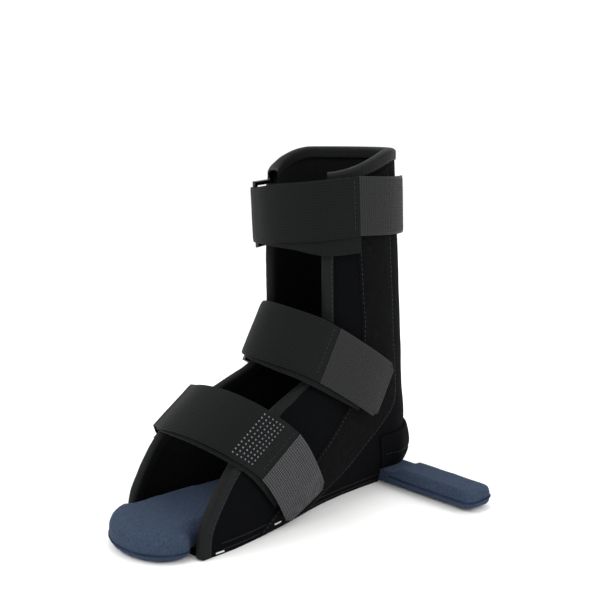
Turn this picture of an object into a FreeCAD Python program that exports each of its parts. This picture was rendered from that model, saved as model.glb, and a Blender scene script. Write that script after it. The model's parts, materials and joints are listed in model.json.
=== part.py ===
import FreeCAD, Part
import math
import os
from FreeCAD import Placement, Rotation, Vector

# Night splint: an ankle foot orthosis for the left foot.
# Frame: +Z up, toes towards -Y, the outer (lateral) side of the foot at +X, floor at Z = 0.
# A soft L-shaped boot of velvet loop fabric, open in front, holds a T-shaped padded board.
# Three elastic straps each run from the lateral panel through a ring on the medial side and
# fold back over themselves to a hook tab that grips the lateral loop strip.

os.makedirs("parts", exist_ok=True)
doc = FreeCAD.newDocument("night_splint")

# ---------------------------------------------------------------- driving dimensions, mm
driving = {
    "calfRadius": 46.0,        # inner form of the calf section
    "rimBack": 278.0,          # height of the top rim at the back
    "rimFront": 260.0,         # height of the top rim at the front edges
    "seamGirth": 23.3,         # girth position of the seam between side and back panels
    "liningThick": 2.0,
    "stayLow": 2.3,            # aluminium stay, between lining and panel
    "stayHigh": 3.7,
    "panelLow": 4.0,
    "panelHigh": 5.6,
    "loopLow": 5.9,            # loop strip sewn on the side panel
    "loopHigh": 7.1,
    "cupLow": 6.3,             # heel cup, over the panels
    "cupHigh": 8.3,
    "cupTop": 46.0,
    "soleThick": 1.7,
    "barLength": 250.0,        # padded crossbar under the heel
    "barWidth": 33.4,
    "barThick": 13.4,
    "barCentreY": 13.9,
    "barCorner": 8.0,
    "insertTop": 22.0,         # padded foot platform
    "insertLow": 2.1,
    "toeTip": -241.6,
    "heelTip": 34.0,
    "coverThick": 1.5,         # fleece
    "coverSeam": 7.0,
    "footBoardLow": 10.0,
    "footBoardThick": 4.0,
    "barBoardLow": 3.7,
    "barBoardThick": 6.0,
    "boardInset": 6.0,
    "screwRadius": 1.9,
    "screwHeadRadius": 3.8,
    "screwLength": 9.0,
    "screwPitchX": 17.0,
    "screwPitchY": 11.0,
    "strapWidth": 45.0,
    "strapThick": 1.5,
    "tabThick": 1.8,
    "ringWire": 4.0,           # moulded ring, section across flats
    "ringDepth": 18.0,         # between the centres of its two long bars
    "ringSpan": 55.0,          # overall length along the strap's width
    "layerGap": 0.3,
}
sheet = doc.addObject("Spreadsheet::Sheet", "Dimensions")
for row, (alias, value) in enumerate(driving.items(), start=1):
    sheet.set("A%d" % row, alias)
    sheet.set("B%d" % row, str(value))
    sheet.setAlias("B%d" % row, alias)
doc.recompute()


def dim(alias):
    """Value of one cell of the sheet."""
    return float(sheet.get(alias))


# ---------------------------------------------------------------- small maths
def smooth(x):
    """0 below 0, 1 above 1, eased between."""
    x = min(max(x, 0.0), 1.0)
    return x * x * (3.0 - 2.0 * x)


def between(a, b, x):
    return a + (b - a) * x


def through(points, x):
    """Smooth value at x of a curve through (x, value) points in rising order of x."""
    if x <= points[0][0]:
        return points[0][1]
    if x >= points[-1][0]:
        return points[-1][1]
    index = max(i for i in range(len(points) - 1) if points[i][0] <= x)
    slopes = []
    for i in (index, index + 1):
        before, after = points[max(i - 1, 0)], points[min(i + 1, len(points) - 1)]
        slopes.append((after[1] - before[1]) / (after[0] - before[0]))
    (x0, y0), (x1, y1) = points[index], points[index + 1]
    span = x1 - x0
    k = (x - x0) / span
    return ((2 * k**3 - 3 * k**2 + 1) * y0 + (k**3 - 2 * k**2 + k) * span * slopes[0]
            + (-2 * k**3 + 3 * k**2) * y1 + (k**3 - k**2) * span * slopes[1])


def steps(low, high, count):
    return [between(low, high, i / (count - 1)) for i in range(count)]


# ---------------------------------------------------------------- form of the boot
# Each level of the boot is a horseshoe: a half circle round the back, then sides that run
# forward to the front edge. All tables are (height or Y, value).
LATERAL, MEDIAL = 1, -1
calfRadius = dim("calfRadius")
backEdge = [(0, 38.0), (20, 39.0), (40, 37.4), (62, 36.0), (86, 31.0), (122, 26.2),
            (157, 23.4), (206, 19.8), (278, 13.4)]
backWidth = [(0, 24.0), (20, 31.0), (40, 35.0), (62, 38.0), (90, 41.5), (120, 45.0),
             (150, calfRadius), (278, calfRadius)]
frontEdge = [(0, -200.0), (15, -199.0), (29, -194.0), (61, -172.0), (80, -146.0),
             (89, -128.0), (97, -108.0), (104, -90.0), (112, -76.0), (124, -68.0),
             (144, -65.0), (200, -65.0), (278, -61.0)]
soleEdge = [(-200, 40.0), (-168, 40.8), (-124, 35.3), (-60, 24.7), (-3, 23.4), (40, 23.4)]
wallEdge = [(-200, 40.5), (-168, 41.5), (-124, 38.5), (-100, 38.0), (-60, 38.0), (-20, 36.0)]
edgeTurn = math.radians(50)    # how far round the section turns before the front edge
wallHeight = 45.0              # the walls flare from the sole up to this height
calfStart, calfFull = 60.0, 130.0


def levelCentre(z):
    return through(backEdge, z) - through(backWidth, z)


def halfWidth(y, z):
    """Half width of the inner form ahead of the centre of its level."""
    ahead = levelCentre(z) - y
    round_ = through(backWidth, z)
    flare = math.sin(math.pi / 2 * min(z / wallHeight, 1.0))
    fore = between(through(soleEdge, y), through(wallEdge, y), flare)
    foot = between(round_, fore, smooth(ahead / 60.0))
    reach = (levelCentre(z) - through(frontEdge, z)) / math.sin(edgeTurn)
    calf = round_ * math.sqrt(max(1.0 - (ahead / reach) ** 2, 0.12))
    return between(foot, calf, smooth((z - calfStart) / (calfFull - calfStart)))


def formPoint(girth, z, side=LATERAL):
    """Inner form: girth 0 is the widest point, positive runs round the back, negative ahead."""
    centre = levelCentre(z)
    if girth >= 0:
        angle = girth / calfRadius
        radius = through(backWidth, z)
        return Vector(side * radius * math.cos(angle), centre + radius * math.sin(angle), z)
    return Vector(side * halfWidth(centre + girth, z), centre + girth, z)


def onForm(girth, z, offset, side=LATERAL):
    """Point at a level distance outside the inner form."""
    step = 0.4
    along = formPoint(girth + step, z) - formPoint(girth - step, z)
    upward = formPoint(girth, z + step) - formPoint(girth, z - step)
    normal = along.cross(upward)
    normal = Vector(normal.x, normal.y, 0).normalize()
    point = formPoint(girth, z) + normal * offset
    return Vector(side * point.x, point.y, point.z)


def edgeGirth(z):
    return through(frontEdge, z) - levelCentre(z)


rimEase = 60.0
rimBendStart = 190.0           # below this height the levels stay flat


def rimDrop(girth):
    """How far the top rim lies below its back at a girth position."""
    return (dim("rimBack") - dim("rimFront")) * (1.0 - smooth((girth + 38.0) / rimEase))


def rimmed(girth, z):
    """Height of a level bent down to follow the rim near the top."""
    return z - rimDrop(girth) * smooth((z - rimBendStart) / (dim("rimBack") - rimBendStart))


# ---------------------------------------------------------------- solids from surfaces
def clampedKnots(count, degree):
    """Knots and multiplicities of a clamped spline with this many poles."""
    inner = count - degree - 1
    return list(range(inner + 2)), [degree + 1] + [1] * inner + [degree + 1]


def surfaceFace(point, us, vs, offset, eased):
    """Face through the grid of points, or eased along it with them as poles, and its rims."""
    grid = [[point(u, v, offset) for v in vs] for u in us]
    surface = Part.BSplineSurface()
    if eased:
        degrees = [min(3, len(us) - 1), min(3, len(vs) - 1)]
        (uKnots, uMults), (vKnots, vMults) = [clampedKnots(len(side), degree)
                                              for side, degree in zip((us, vs), degrees)]
        surface.buildFromPolesMultsKnots(grid, uMults, vMults, uKnots, vKnots, False, False,
                                         *degrees)
    else:
        surface.interpolate(grid)
    uLow, uHigh, vLow, vHigh = surface.bounds()
    rims = [surface.uIso(uLow), surface.uIso(uHigh), surface.vIso(vLow), surface.vIso(vHigh)]
    return surface.toShape(), [rim.toShape() for rim in rims]


def layer(point, us, vs, low, high, eased=False):
    """Closed solid between two offsets of the surface point(u, v, offset)."""
    inner, innerRims = surfaceFace(point, us, vs, low, eased)
    outer, outerRims = surfaceFace(point, us, vs, high, eased)
    walls = [Part.makeRuledSurface(a, b, 1) for a, b in zip(innerRims, outerRims)]
    shell = Part.makeShell([inner, outer] + walls)
    shell.sewShape()
    solid = Part.makeSolid(shell)
    if solid.Volume < 0:
        solid.reverse()
    return solid


pieces = []


def keep(name, shape):
    """Store a finished shape as a sub-part of its own."""
    if len(shape.Solids) == 1:
        shape = shape.Solids[0]
    feature = doc.addObject("Part::Feature", name)
    feature.Label = name
    feature.Shape = shape
    feature.Placement = Placement()
    pieces.append(feature)
    return feature


def keepPlaced(feature, name, placement=None):
    """Name a parametric object as a sub-part and put it in its place."""
    feature.Label = name
    if placement:
        feature.Placement = placement
    pieces.append(feature)
    return feature


def boxBetween(low, high):
    return Part.makeBox(high[0] - low[0], high[1] - low[1], high[2] - low[2], Vector(*low))


# ---------------------------------------------------------------- boot: panels and linings
gap = dim("layerGap")
backGirth = calfRadius * math.pi / 2
seamGirth = dim("seamGirth")
barFront = dim("barCentreY") - dim("barWidth") / 2
barBack = dim("barCentreY") + dim("barWidth") / 2
tunnelTop = dim("barThick") + gap
tunnel = boxBetween((-90, barFront - gap, -5), (90, 80, tunnelTop))
levels = [0, 7, 14, 24, 36, 48, 60, 70, 79, 86, 92, 97, 102, 107, 112, 118, 126, 138, 155, 175,
          200, 225, 245, 262, 278]
sideNames = {LATERAL: "lateral", MEDIAL: "medial"}


def sidePoint(side):
    """Side panel surface: u is the level, v runs from the front edge to the back seam."""
    def point(z, v, offset):
        girth = between(edgeGirth(z), seamGirth - gap / 2, v)
        return onForm(girth, rimmed(girth, z), offset, side)
    return point


def backPoint(z, v, offset):
    """Back surface: v = -1 and 1 are the two seams, 0 the line down the heel."""
    girth = between(backGirth, seamGirth + gap / 2, abs(v))
    return onForm(girth, rimmed(girth, z), offset, LATERAL if v >= 0 else MEDIAL)


sideLevels = [dim("soleThick") + gap] + levels[1:]
backLevels = [tunnelTop + 0.1, 20, 28] + levels[4:]
for side, name in sideNames.items():
    panel = layer(sidePoint(side), levels, steps(0, 1, 11), dim("panelLow"), dim("panelHigh"))
    keep(name + "_panel", panel.cut(tunnel))
    lining = layer(sidePoint(side), sideLevels, steps(0, 1, 11), 0.0, dim("liningThick"))
    keep(name + "_lining", lining.cut(tunnel))
keep("back_panel", layer(backPoint, backLevels, steps(-1, 1, 13), dim("panelLow"),
                         dim("panelHigh")))
keep("back_lining", layer(backPoint, backLevels, steps(-1, 1, 13), 0.0, dim("liningThick")))

# ---------------------------------------------------------------- boot: sole
soleFront = through(frontEdge, 0)


def soleOutline(inset, low, high, thickBottom, thickTop, edge=soleEdge):
    """Solid with the sole's outline, drawn in by inset, between two Y values and two heights."""
    ys = steps(low, high, 13)
    right = Part.BSplineCurve()
    right.interpolate([Vector(through(edge, y) - inset, y, thickBottom) for y in ys])
    left = Part.BSplineCurve()
    left.interpolate([Vector(inset - through(edge, y), y, thickBottom) for y in ys])
    ends = [Part.LineSegment(left.StartPoint, right.StartPoint),
            Part.LineSegment(right.EndPoint, left.EndPoint)]
    wire = Part.Wire(Part.__sortEdges__([c.toShape() for c in [right, left] + ends]))
    return Part.Face(wire).extrude(Vector(0, 0, thickTop - thickBottom))


keep("sole_panel", soleOutline(gap - dim("panelLow"), soleFront, barFront - gap, 0.0,
                               dim("soleThick")))

# ---------------------------------------------------------------- boot: heel cup
cupFrontGirth = -14.0
cupPuff = 2.4
cupLow, cupHigh = dim("cupLow"), dim("cupHigh")


def cupPoint(z, v, offset):
    """Heel cup: v = -1 and 1 are its front edges; it swells between its hem and its top."""
    girth = between(backGirth, cupFrontGirth, abs(v))
    swell = math.sin(math.pi * (z - tunnelTop) / (dim("cupTop") - tunnelTop))
    puff = cupPuff * swell * (offset - cupLow) / (cupHigh - cupLow)
    return onForm(girth, z, offset + puff, LATERAL if v >= 0 else MEDIAL)


keep("heel_cup", layer(cupPoint, steps(tunnelTop + 0.1, dim("cupTop"), 7), steps(-1, 1, 25),
                       cupLow, cupHigh))

# ---------------------------------------------------------------- boot: loop strips and stays
# The strip runs down the side of the calf, bends at the ankle and ends at the sole ahead of it.
# Rows are (front girth, front height, back girth, back height).
stripRows = [(-20, 268, 11, 268), (-20, 235, 11, 235), (-20, 200, 11, 200), (-20, 170, 11, 170),
             (-20, 142, 11, 138), (-26, 112, 11.5, 104), (-42, 85, 8, 76), (-61, 69, -16, 53),
             (-86, 49, -40, 38), (-118, 28, -66, 22), (-150, 10, -95, 6), (-166, 1, -108, 1)]


def stripPoint(side, narrow=0.0):
    """Point along (u, 0 to 1) and across (v, 0 to 1) the strip, drawn in from both edges."""
    columns = [[(i, row[k]) for i, row in enumerate(stripRows)] for k in range(4)]

    def point(u, v, offset):
        along = u * (len(stripRows) - 1)
        frontG, frontZ, backG, backZ = [through(column, along) for column in columns]
        across = between(narrow, 1.0 - narrow, v)
        girth = between(frontG, backG, across)
        return onForm(girth, rimmed(girth, between(frontZ, backZ, across)), offset, side)
    return point


stayNarrow = 0.28
for side, name in sideNames.items():
    strip = layer(stripPoint(side), steps(0, 1, 34), steps(0, 1, 6), dim("loopLow"),
                  dim("loopHigh"))
    keep(name + "_loop_strip", strip)
    stay = layer(stripPoint(side, stayNarrow), steps(0.01, 0.95, 34), steps(0, 1, 5),
                 dim("stayLow"), dim("stayHigh"))
    keep(name + "_stay", stay)

# ---------------------------------------------------------------- boot: edge bindings
tapeThick = 0.9
tapeReach = 7.0
tapeNose = 2.6
tapeClear = 0.6
stackMiddle = dim("panelHigh") / 2
tapeRise = stackMiddle + tapeClear + tapeThick / 2


def tapeProfile(v, offset):
    """Folded tape across an edge: (distance into the panel, height off its middle)."""
    rise = tapeRise + offset
    if abs(v) > 0.5:
        return tapeReach * (abs(v) - 0.5) * 2, math.copysign(rise, v)
    turn = math.pi * v
    return -(tapeNose + offset) * math.cos(turn), rise * math.sin(turn)


def tapeAlong(edge, side):
    """Surface of a tape folded over the edge curve edge(u) = (girth, height)."""
    def point(u, v, offset):
        girth, z = edge(u)
        here, ahead = edge(u - 0.004), edge(u + 0.004)
        middle = onForm(girth, z, stackMiddle)
        outward = (onForm(girth, z, stackMiddle + 1) - middle).normalize()
        tangent = (onForm(*ahead, stackMiddle) - onForm(*here, stackMiddle)).normalize()
        inward = tangent.cross(outward).normalize()
        depth, rise = tapeProfile(v, offset)
        spot = middle + inward * depth + outward * rise
        return Vector(side * spot.x, spot.y, max(spot.z, 0.0))
    return point


def frontEdgeAt(u):
    z = between(1.5, dim("rimBack") - 9.0, u)
    girth = edgeGirth(z)
    return girth, rimmed(girth, z)


def rimEdgeAt(u):
    """Rim from the lateral front corner (u = 0) to the middle of the back (u = 1)."""
    girth = between(edgeGirth(dim("rimBack")) - tapeNose, backGirth, u)
    return girth, rimmed(girth, dim("rimBack"))


def trimmed(shape, *others):
    """The largest solid left of a shape when the others are cut from it."""
    for other in others:
        shape = shape.cut(other)
    return max(shape.Solids, key=lambda solid: solid.Volume)


shapes = {piece.Label: piece.Shape for piece in pieces}
tapeAcross = [-1, -0.75, -0.5, -0.35, -0.18, 0, 0.18, 0.35, 0.5, 0.75, 1]
for side, name in sideNames.items():
    tape = layer(tapeAlong(frontEdgeAt, side), steps(0, 1, 64), tapeAcross, -tapeThick / 2,
                 tapeThick / 2, eased=True)
    keep(name + "_binding", trimmed(tape, shapes[name + "_panel"], shapes[name + "_lining"],
                                    shapes["sole_panel"]))


def rimTape(u, v, offset):
    side = LATERAL if u <= 1 else MEDIAL
    return tapeAlong(rimEdgeAt, side)(u if u <= 1 else 2 - u, -v, offset)


rimCovers = [shapes[name] for name in ("lateral_panel", "medial_panel", "back_panel",
                                       "lateral_lining", "medial_lining", "back_lining")]
tape = layer(rimTape, steps(0, 2, 49), tapeAcross, -tapeThick / 2, tapeThick / 2, eased=True)
keep("rim_binding", trimmed(tape, *rimCovers))

# Wire tacks that close the hem of each side panel at the sole: (Y, height, offset) of each one.
# The rear one lies on the end of the loop strip, the front one on the panel.
tackLength, tackHeight, tackThick = 7.0, 1.0, 0.8
tackPlaces = ((-130.0, 6.0, dim("loopHigh") + 0.1), (-186.0, 2.4, dim("panelHigh") + gap))
for side, name in sideNames.items():
    tacks = []
    for y, z, low in tackPlaces:
        def tackPoint(u, v, offset):
            level = z + tackHeight * v
            return onForm(y + tackLength * u - levelCentre(level), level, offset, side)
        tacks.append(layer(tackPoint, steps(-0.5, 0.5, 5), steps(-0.5, 0.5, 3), low,
                           low + tackThick))
    keep(name + "_hem_tacks", Part.makeCompound(tacks))

# ---------------------------------------------------------------- padded T-shaped board
toeTip = dim("toeTip")
toeRows = [(toeTip, 0.0), (-239.7, 14.3), (-237.0, 21.5), (-233.0, 28.6), (-227.4, 35.0),
           (-220.6, 40.1), (-213.0, 43.4), (-205.5, 44.8)]
toeBack = toeRows[-1][0]
neckInset = 2.2
insertTop, insertLow, coverThick = dim("insertTop"), dim("insertLow"), dim("coverThick")
heelTip = dim("heelTip")


def toeSolid(inset, low, high):
    """Blunt rounded toe of the platform, drawn in by inset."""
    half = [Vector(0, toeTip + inset, low)]
    for (y0, x0), (y, x), (y1, x1) in zip(toeRows, toeRows[1:], toeRows[2:]):
        inward = Vector(y0 - y1, x1 - x0, 0).normalize()
        spot = Vector(x, y, low) + inward * inset
        if spot.y < toeBack - inset - 2:
            half.append(spot)
    half.append(Vector(toeRows[-1][1] - inset, toeBack - inset, low))
    mirror = [Vector(-p.x, p.y, p.z) for p in reversed(half[1:])]
    curve = Part.BSplineCurve()
    curve.interpolate(mirror + half)
    closing = Part.LineSegment(curve.EndPoint, curve.StartPoint)
    face = Part.Face(Part.Wire([curve.toShape(), closing.toShape()]))
    return face.extrude(Vector(0, 0, high - low))


def platform(inset, low, high, toeLow):
    """Foot platform: toe, neck inside the boot and a rounded heel, drawn in by inset."""
    heelRadius = through(soleEdge, heelTip) - neckInset - inset
    heelCentre = heelTip - inset - heelRadius
    body = soleOutline(inset + neckInset, toeBack - inset - 1, heelCentre, low, high)
    heel = Part.makeCylinder(heelRadius, high - low, Vector(0, heelCentre, low))
    return toeSolid(inset, toeLow, high).fuse([body, heel]).removeSplitter()


def crossbar(inset, low, high):
    half = dim("barLength") / 2 - inset
    bar = boxBetween((-half, barFront + inset, low), (half, barBack - inset, high))
    corners = [edge for edge in bar.Edges if abs(edge.tangentAt(edge.FirstParameter).z) > 0.9]
    return bar.makeFillet(dim("barCorner") - inset, corners)


def padding(inset):
    """The padded T: platform and crossbar as one solid, drawn in by inset all round."""
    foot = platform(inset, insertLow + inset, insertTop - inset, inset)
    return foot.fuse(crossbar(inset, inset, dim("barThick") - inset)).removeSplitter()


everywhere = 300


def above(height, shape):
    return shape.common(boxBetween((-everywhere, -everywhere, height),
                                   (everywhere, everywhere, everywhere)))


def below(height, shape):
    return shape.common(boxBetween((-everywhere, -everywhere, -everywhere),
                                   (everywhere, everywhere, height)))


screwX, screwY = dim("screwPitchX") / 2, dim("screwPitchY") / 2
screwPlaces = [Vector(x, dim("barCentreY") + y, 0) for x in (-screwX, screwX)
               for y in (-screwY, screwY)]
footBoardLow, barBoardLow = dim("footBoardLow"), dim("barBoardLow")
footBoardTop = footBoardLow + dim("footBoardThick")
barBoardTop = barBoardLow + dim("barBoardThick")
holeClear = 0.2
footBoard = platform(dim("boardInset"), footBoardLow, footBoardTop, footBoardLow)
barBoard = crossbar(dim("boardInset"), barBoardLow, barBoardTop)
sinkDepth = dim("screwHeadRadius") - dim("screwRadius")
holeDepth = 20.0
for place in screwPlaces:
    hole = Part.makeCylinder(dim("screwRadius") + holeClear, holeDepth, place)
    sink = Part.makeCone(dim("screwRadius") + holeClear, dim("screwHeadRadius") + holeClear,
                         sinkDepth, place + Vector(0, 0, footBoardTop - sinkDepth))
    footBoard = footBoard.cut(hole.fuse(sink))
    barBoard = barBoard.cut(hole)
keep("foot_board", footBoard)
keep("cross_bar_board", barBoard)

cover = padding(0).cut(padding(coverThick))
keep("insert_cover_top", above(dim("coverSeam") + gap / 2, cover))
keep("insert_cover_bottom", below(dim("coverSeam") - gap / 2, cover))

foam = padding(coverThick + gap)
boardRoom = platform(dim("boardInset") - gap, footBoardLow - gap, footBoardTop + gap,
                     footBoardLow - gap)
barRoom = crossbar(dim("boardInset") - gap, barBoardLow - gap, barBoardTop + gap)
foam = foam.cut(boardRoom).cut(barRoom)
keep("insert_foam_top", above(barBoardTop + gap, foam))
keep("insert_foam_bottom", below(barBoardTop, foam))

# Countersunk screw, turned about its own axis, then set at the four places.
screwBody = doc.addObject("PartDesign::Body", "ScrewBody")
sketch = screwBody.newObject("Sketcher::SketchObject", "ScrewProfile")
xzPlane = [f for f in screwBody.Origin.OriginFeatures if f.Role == "XZ_Plane"][0]
sketch.AttachmentSupport = [(xzPlane, "")]
sketch.MapMode = "FlatFace"
headRadius, shankRadius, screwLength = (dim("screwHeadRadius"), dim("screwRadius"),
                                        dim("screwLength"))
pointLength = 1.5
profile = [(0, 0), (headRadius, 0), (shankRadius, -sinkDepth),
           (shankRadius, pointLength - screwLength), (0, -screwLength), (0, 0)]
for (x0, y0), (x1, y1) in zip(profile, profile[1:]):
    sketch.addGeometry(Part.LineSegment(Vector(x0, y0, 0), Vector(x1, y1, 0)), False)
turned = screwBody.newObject("PartDesign::Revolution", "Turned")
turned.Profile = sketch
turned.ReferenceAxis = (sketch, ["V_Axis"])
turned.Angle = 360.0
doc.recompute()
driveRadius, driveDepth = 1.3, 1.2
drive = Part.makeCylinder(driveRadius, driveDepth, Vector(0, 0, -driveDepth))
oneScrew = screwBody.Shape.cut(drive)
keep("board_screws", Part.makeCompound([
    oneScrew.translated(place + Vector(0, 0, footBoardTop - holeClear / 2))
    for place in screwPlaces]))


# ---------------------------------------------------------------- straps
# Each strap is a band that turns about its own ruling direction. In the plane across the ruling,
# x runs to the lateral side and y to the front of the limb; the third number of a point is how
# far the middle of the band has drifted along the ruling there.
strapWidth, strapThick, tabThick = dim("strapWidth"), dim("strapThick"), dim("tabThick")
ringWire, ringDepth, ringSpan = dim("ringWire"), dim("ringDepth"), dim("ringSpan")
straps = {
    "upper": {
        "ruling": (0, 0.05, -1), "origin": (0, -60, 231),
        "ring": (-54, 3, 4.8), "ringRear": (-57.5, -14.6, 4.8),
        "inner": [(-34.5, 17.2, 2.9), (-18, 24, 1.6), (0, 26.6, 1.4), (18, 23.6, 2.8),
                  (34, 17.6, 5.6), (41.2, 9.2, 6.6), (46.2, 0.6, 6.4), (50.3, -7.6, 6),
                  (51.3, -10.4, 6)],
        "outer": [(-36, 19.4, 2.6), (-19, 26.4, 0.2), (0, 29, -2.5), (19, 26, -4.3),
                  (35.4, 19.4, -5.6), (43, 10.6, -6.4), (48.2, 1.4, -7), (52.2, -7, -7.4)],
        "tab": [(52.6, -8, -7.4), (55.2, -17, -6.8), (56.4, -26, -6), (56.4, -35, -5.2),
                (54.7, -45, -4.3), (51.2, -54.5, -3.5), (46.2, -63, -2.8),
                (40.6, -70.3, -2.2), (34.5, -76.6, -1.7)],
        "webbingInner": [(-54.4, -50, 4.8), (-54.6, -38, 4.8), (-54.6, -26, 4.8),
                         (-54.6, -17, 4.8)],
        "webbingOuter": [(-60.3, -17, 4.8), (-58.2, -27, 4.8), (-56.6, -38, 4.8),
                         (-56.1, -50, 4.8)],
        "tabSkew": 0.0,
    },
    "middle": {
        "ruling": (0, -0.5, -0.866), "origin": (0, -115.1, 145.6),
        "ring": (-49.5, -49, -9.5), "ringRear": (-54, -66.5, -9.5),
        "inner": [(-42, -40, -9), (-35.2, -34, -8.1), (-25, -25.6, -6.2),
                  (-11.9, -14.5, -3.4), (2.3, -6.6, -0.8), (17.4, -5.8, 0.9),
                  (29.6, -13.2, 1.5), (38, -26.6, 1.1), (42.9, -43, 1.4), (47.1, -58, 2),
                  (50.1, -70, 2.6), (52.3, -79, 3), (53.1, -88, 3.2)],
        "outer": [(-43.8, -38, -9), (-36.8, -32, -8.3), (-26.4, -23.6, -6.8), (-13, -12.5, -4.6),
                  (2, -4.2, -2.8), (18, -3.4, -2), (31, -11.2, -2.3), (40, -25.2, -3.4),
                  (44.6, -41.5, -3.2)],
        "tab": [(45.2, -44.2, -3.1), (48.6, -56, -2.2), (51.9, -68, -1), (54.3, -79, 0),
                (55.5, -89, 1), (55.6, -99, 1.9), (55, -108.5, 2.7)],
        "webbingInner": [(-55.6, -103, -9.5), (-55.6, -96, -9.5), (-55.1, -87, -9.5),
                         (-53.8, -78, -9.5), (-51.9, -69.5, -9.5)],
        "webbingOuter": [(-57.1, -69.5, -9.5), (-57.3, -78, -9.5), (-57.3, -87, -9.5),
                         (-57.4, -96, -9.5), (-57.4, -103, -9.5)],
        "tabSkew": 0.0,
    },
    "lower": {
        "ruling": (0, -0.82, -0.572), "origin": (0, -85, -41.5),
        "ring": (-55.5, 128, -14.5), "ringRear": (-55.2, 110, -14.5),
        "inner": [(-47.8, 139.2, -13.3), (-38, 145.2, -11), (-22.8, 154.3, -6),
                  (-5.4, 163.1, -1.8), (15.4, 165.9, -0.8), (32.6, 161.6, -2.4),
                  (44, 151.8, -5.4), (49, 139, -9.4), (50.1, 127, -13), (50, 114, -15.4),
                  (49.4, 102, -16.6), (48.2, 90, -17.4), (46.9, 79, -18)],
        "outer": [(-49.6, 142.2, -13.3), (-39.2, 147.6, -11), (-24, 156.5, -6.2),
                  (-6, 165.5, -2.6), (16, 168.3, -2.8), (34, 163.8, -5), (46, 153.4, -8.5),
                  (51.2, 140, -12.6), (52.3, 127, -16.5), (52.5, 114.7, -19.5)],
        "tab": [(52.7, 112.2, -19.8), (52.9, 100, -20.2), (52.4, 88, -19.9), (51, 76, -19.3),
                (49, 64.5, -18.5), (46.8, 54.5, -17.6)],
        "webbingInner": [(-47.8, 71.2, -14.5), (-48.2, 79.2, -14.5), (-48.9, 89.2, -14.5),
                         (-50.2, 99.2, -14.5), (-52.2, 108, -14.5)],
        "webbingOuter": [(-58, 108, -14.5), (-54.6, 99.2, -14.5), (-51.4, 89.2, -14.5),
                         (-49.9, 79.2, -14.5), (-49.4, 71.2, -14.5)],
        "tabSkew": -5.0,
    },
}
foldRadius = ringWire / 2 + 0.55 + strapThick / 2
foldOverlap = 4.5              # the inner run starts this far past the end of the fold
webbingThick, webbingWidth = 1.2, 42.0


def strapFrame(strap):
    """Axes of a strap: lateral, forward and along the ruling."""
    ruling = Vector(*strap["ruling"]).normalize()
    lateral = Vector(1, 0, 0)
    return lateral, ruling.cross(lateral), ruling


def toSpace(strap, flat, along=0.0):
    """A point of the strap's plane, moved along the ruling."""
    lateral, forward, ruling = strapFrame(strap)
    drift = ruling * (flat.z + along)
    return Vector(*strap["origin"]) + lateral * flat.x + forward * flat.y + drift


def evenPath(points, spacing=3.5):
    """Evenly spaced points along a smooth curve through a few."""
    curve = Part.BSplineCurve()
    curve.interpolate([Vector(*point) for point in points])
    return curve.toShape().discretize(Number=int(curve.length() / spacing) + 2)


def foldPath(centre, start, end, radius):
    """Points round a bar's centre between two directions."""
    count = 13
    return [centre + Vector(math.cos(a), math.sin(a), 0) * radius for a in steps(start, end, count)]


def band(strap, path, low, high, width, skew=0.0):
    """Solid band along a path of plane points, between two offsets to its left."""
    def point(index, v, offset):
        before, after = path[max(index - 1, 0)], path[min(index + 1, len(path) - 1)]
        tangent = Vector(after.x - before.x, after.y - before.y, 0).normalize()
        normal = Vector(-tangent.y, tangent.x, 0)
        lean = skew * v * 2 * smooth(index / (len(path) - 1) * 3 - 2)
        return toSpace(strap, path[index] + normal * offset + tangent * lean, v * width)
    return layer(point, list(range(len(path))), [-0.5, 0, 0.5], low, high, eased=True)


def ringSolid(strap, name):
    """Moulded rectangular ring with rounded bars, laid between its two bar centres."""
    front, rear = Vector(*strap["ring"]), Vector(*strap["ringRear"])
    body = doc.addObject("PartDesign::Body", name + "RingBody")
    plane = [f for f in body.Origin.OriginFeatures if f.Role == "XY_Plane"][0]
    frame = body.newObject("Sketcher::SketchObject", name + "RingProfile")
    frame.AttachmentSupport = [(plane, "")]
    frame.MapMode = "FlatFace"
    for halfX, halfY in ((ringDepth / 2 + ringWire / 2, ringSpan / 2),
                         (ringDepth / 2 - ringWire / 2, ringSpan / 2 - ringWire)):
        corners = [Vector(x, y, 0) for x, y in ((-halfX, -halfY), (halfX, -halfY),
                                                (halfX, halfY), (-halfX, halfY))]
        for i in range(4):
            frame.addGeometry(Part.LineSegment(corners[i], corners[(i + 1) % 4]), False)
    pad = body.newObject("PartDesign::Pad", name + "RingPad")
    pad.Profile = frame
    pad.setExpression("Length", "Dimensions.ringWire")
    pad.Midplane = True
    doc.recompute()
    fillet = body.newObject("PartDesign::Fillet", name + "RingRound")
    long = ["Edge%d" % (i + 1) for i, edge in enumerate(pad.Shape.Edges)
            if abs(edge.tangentAt(edge.FirstParameter).z) < 0.1]
    fillet.Base = (pad, long)
    fillet.Radius = ringWire / 2 - 0.25
    doc.recompute()
    middle = (front + rear) * 0.5
    across = toSpace(strap, front) - toSpace(strap, rear)
    ruling = strapFrame(strap)[2]
    across = (across - ruling * across.dot(ruling)).normalize()
    turn = Rotation(across, ruling, across.cross(ruling), "XYZ")
    return keepPlaced(body, name + "_ring", Placement(toSpace(strap, middle), turn))


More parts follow.
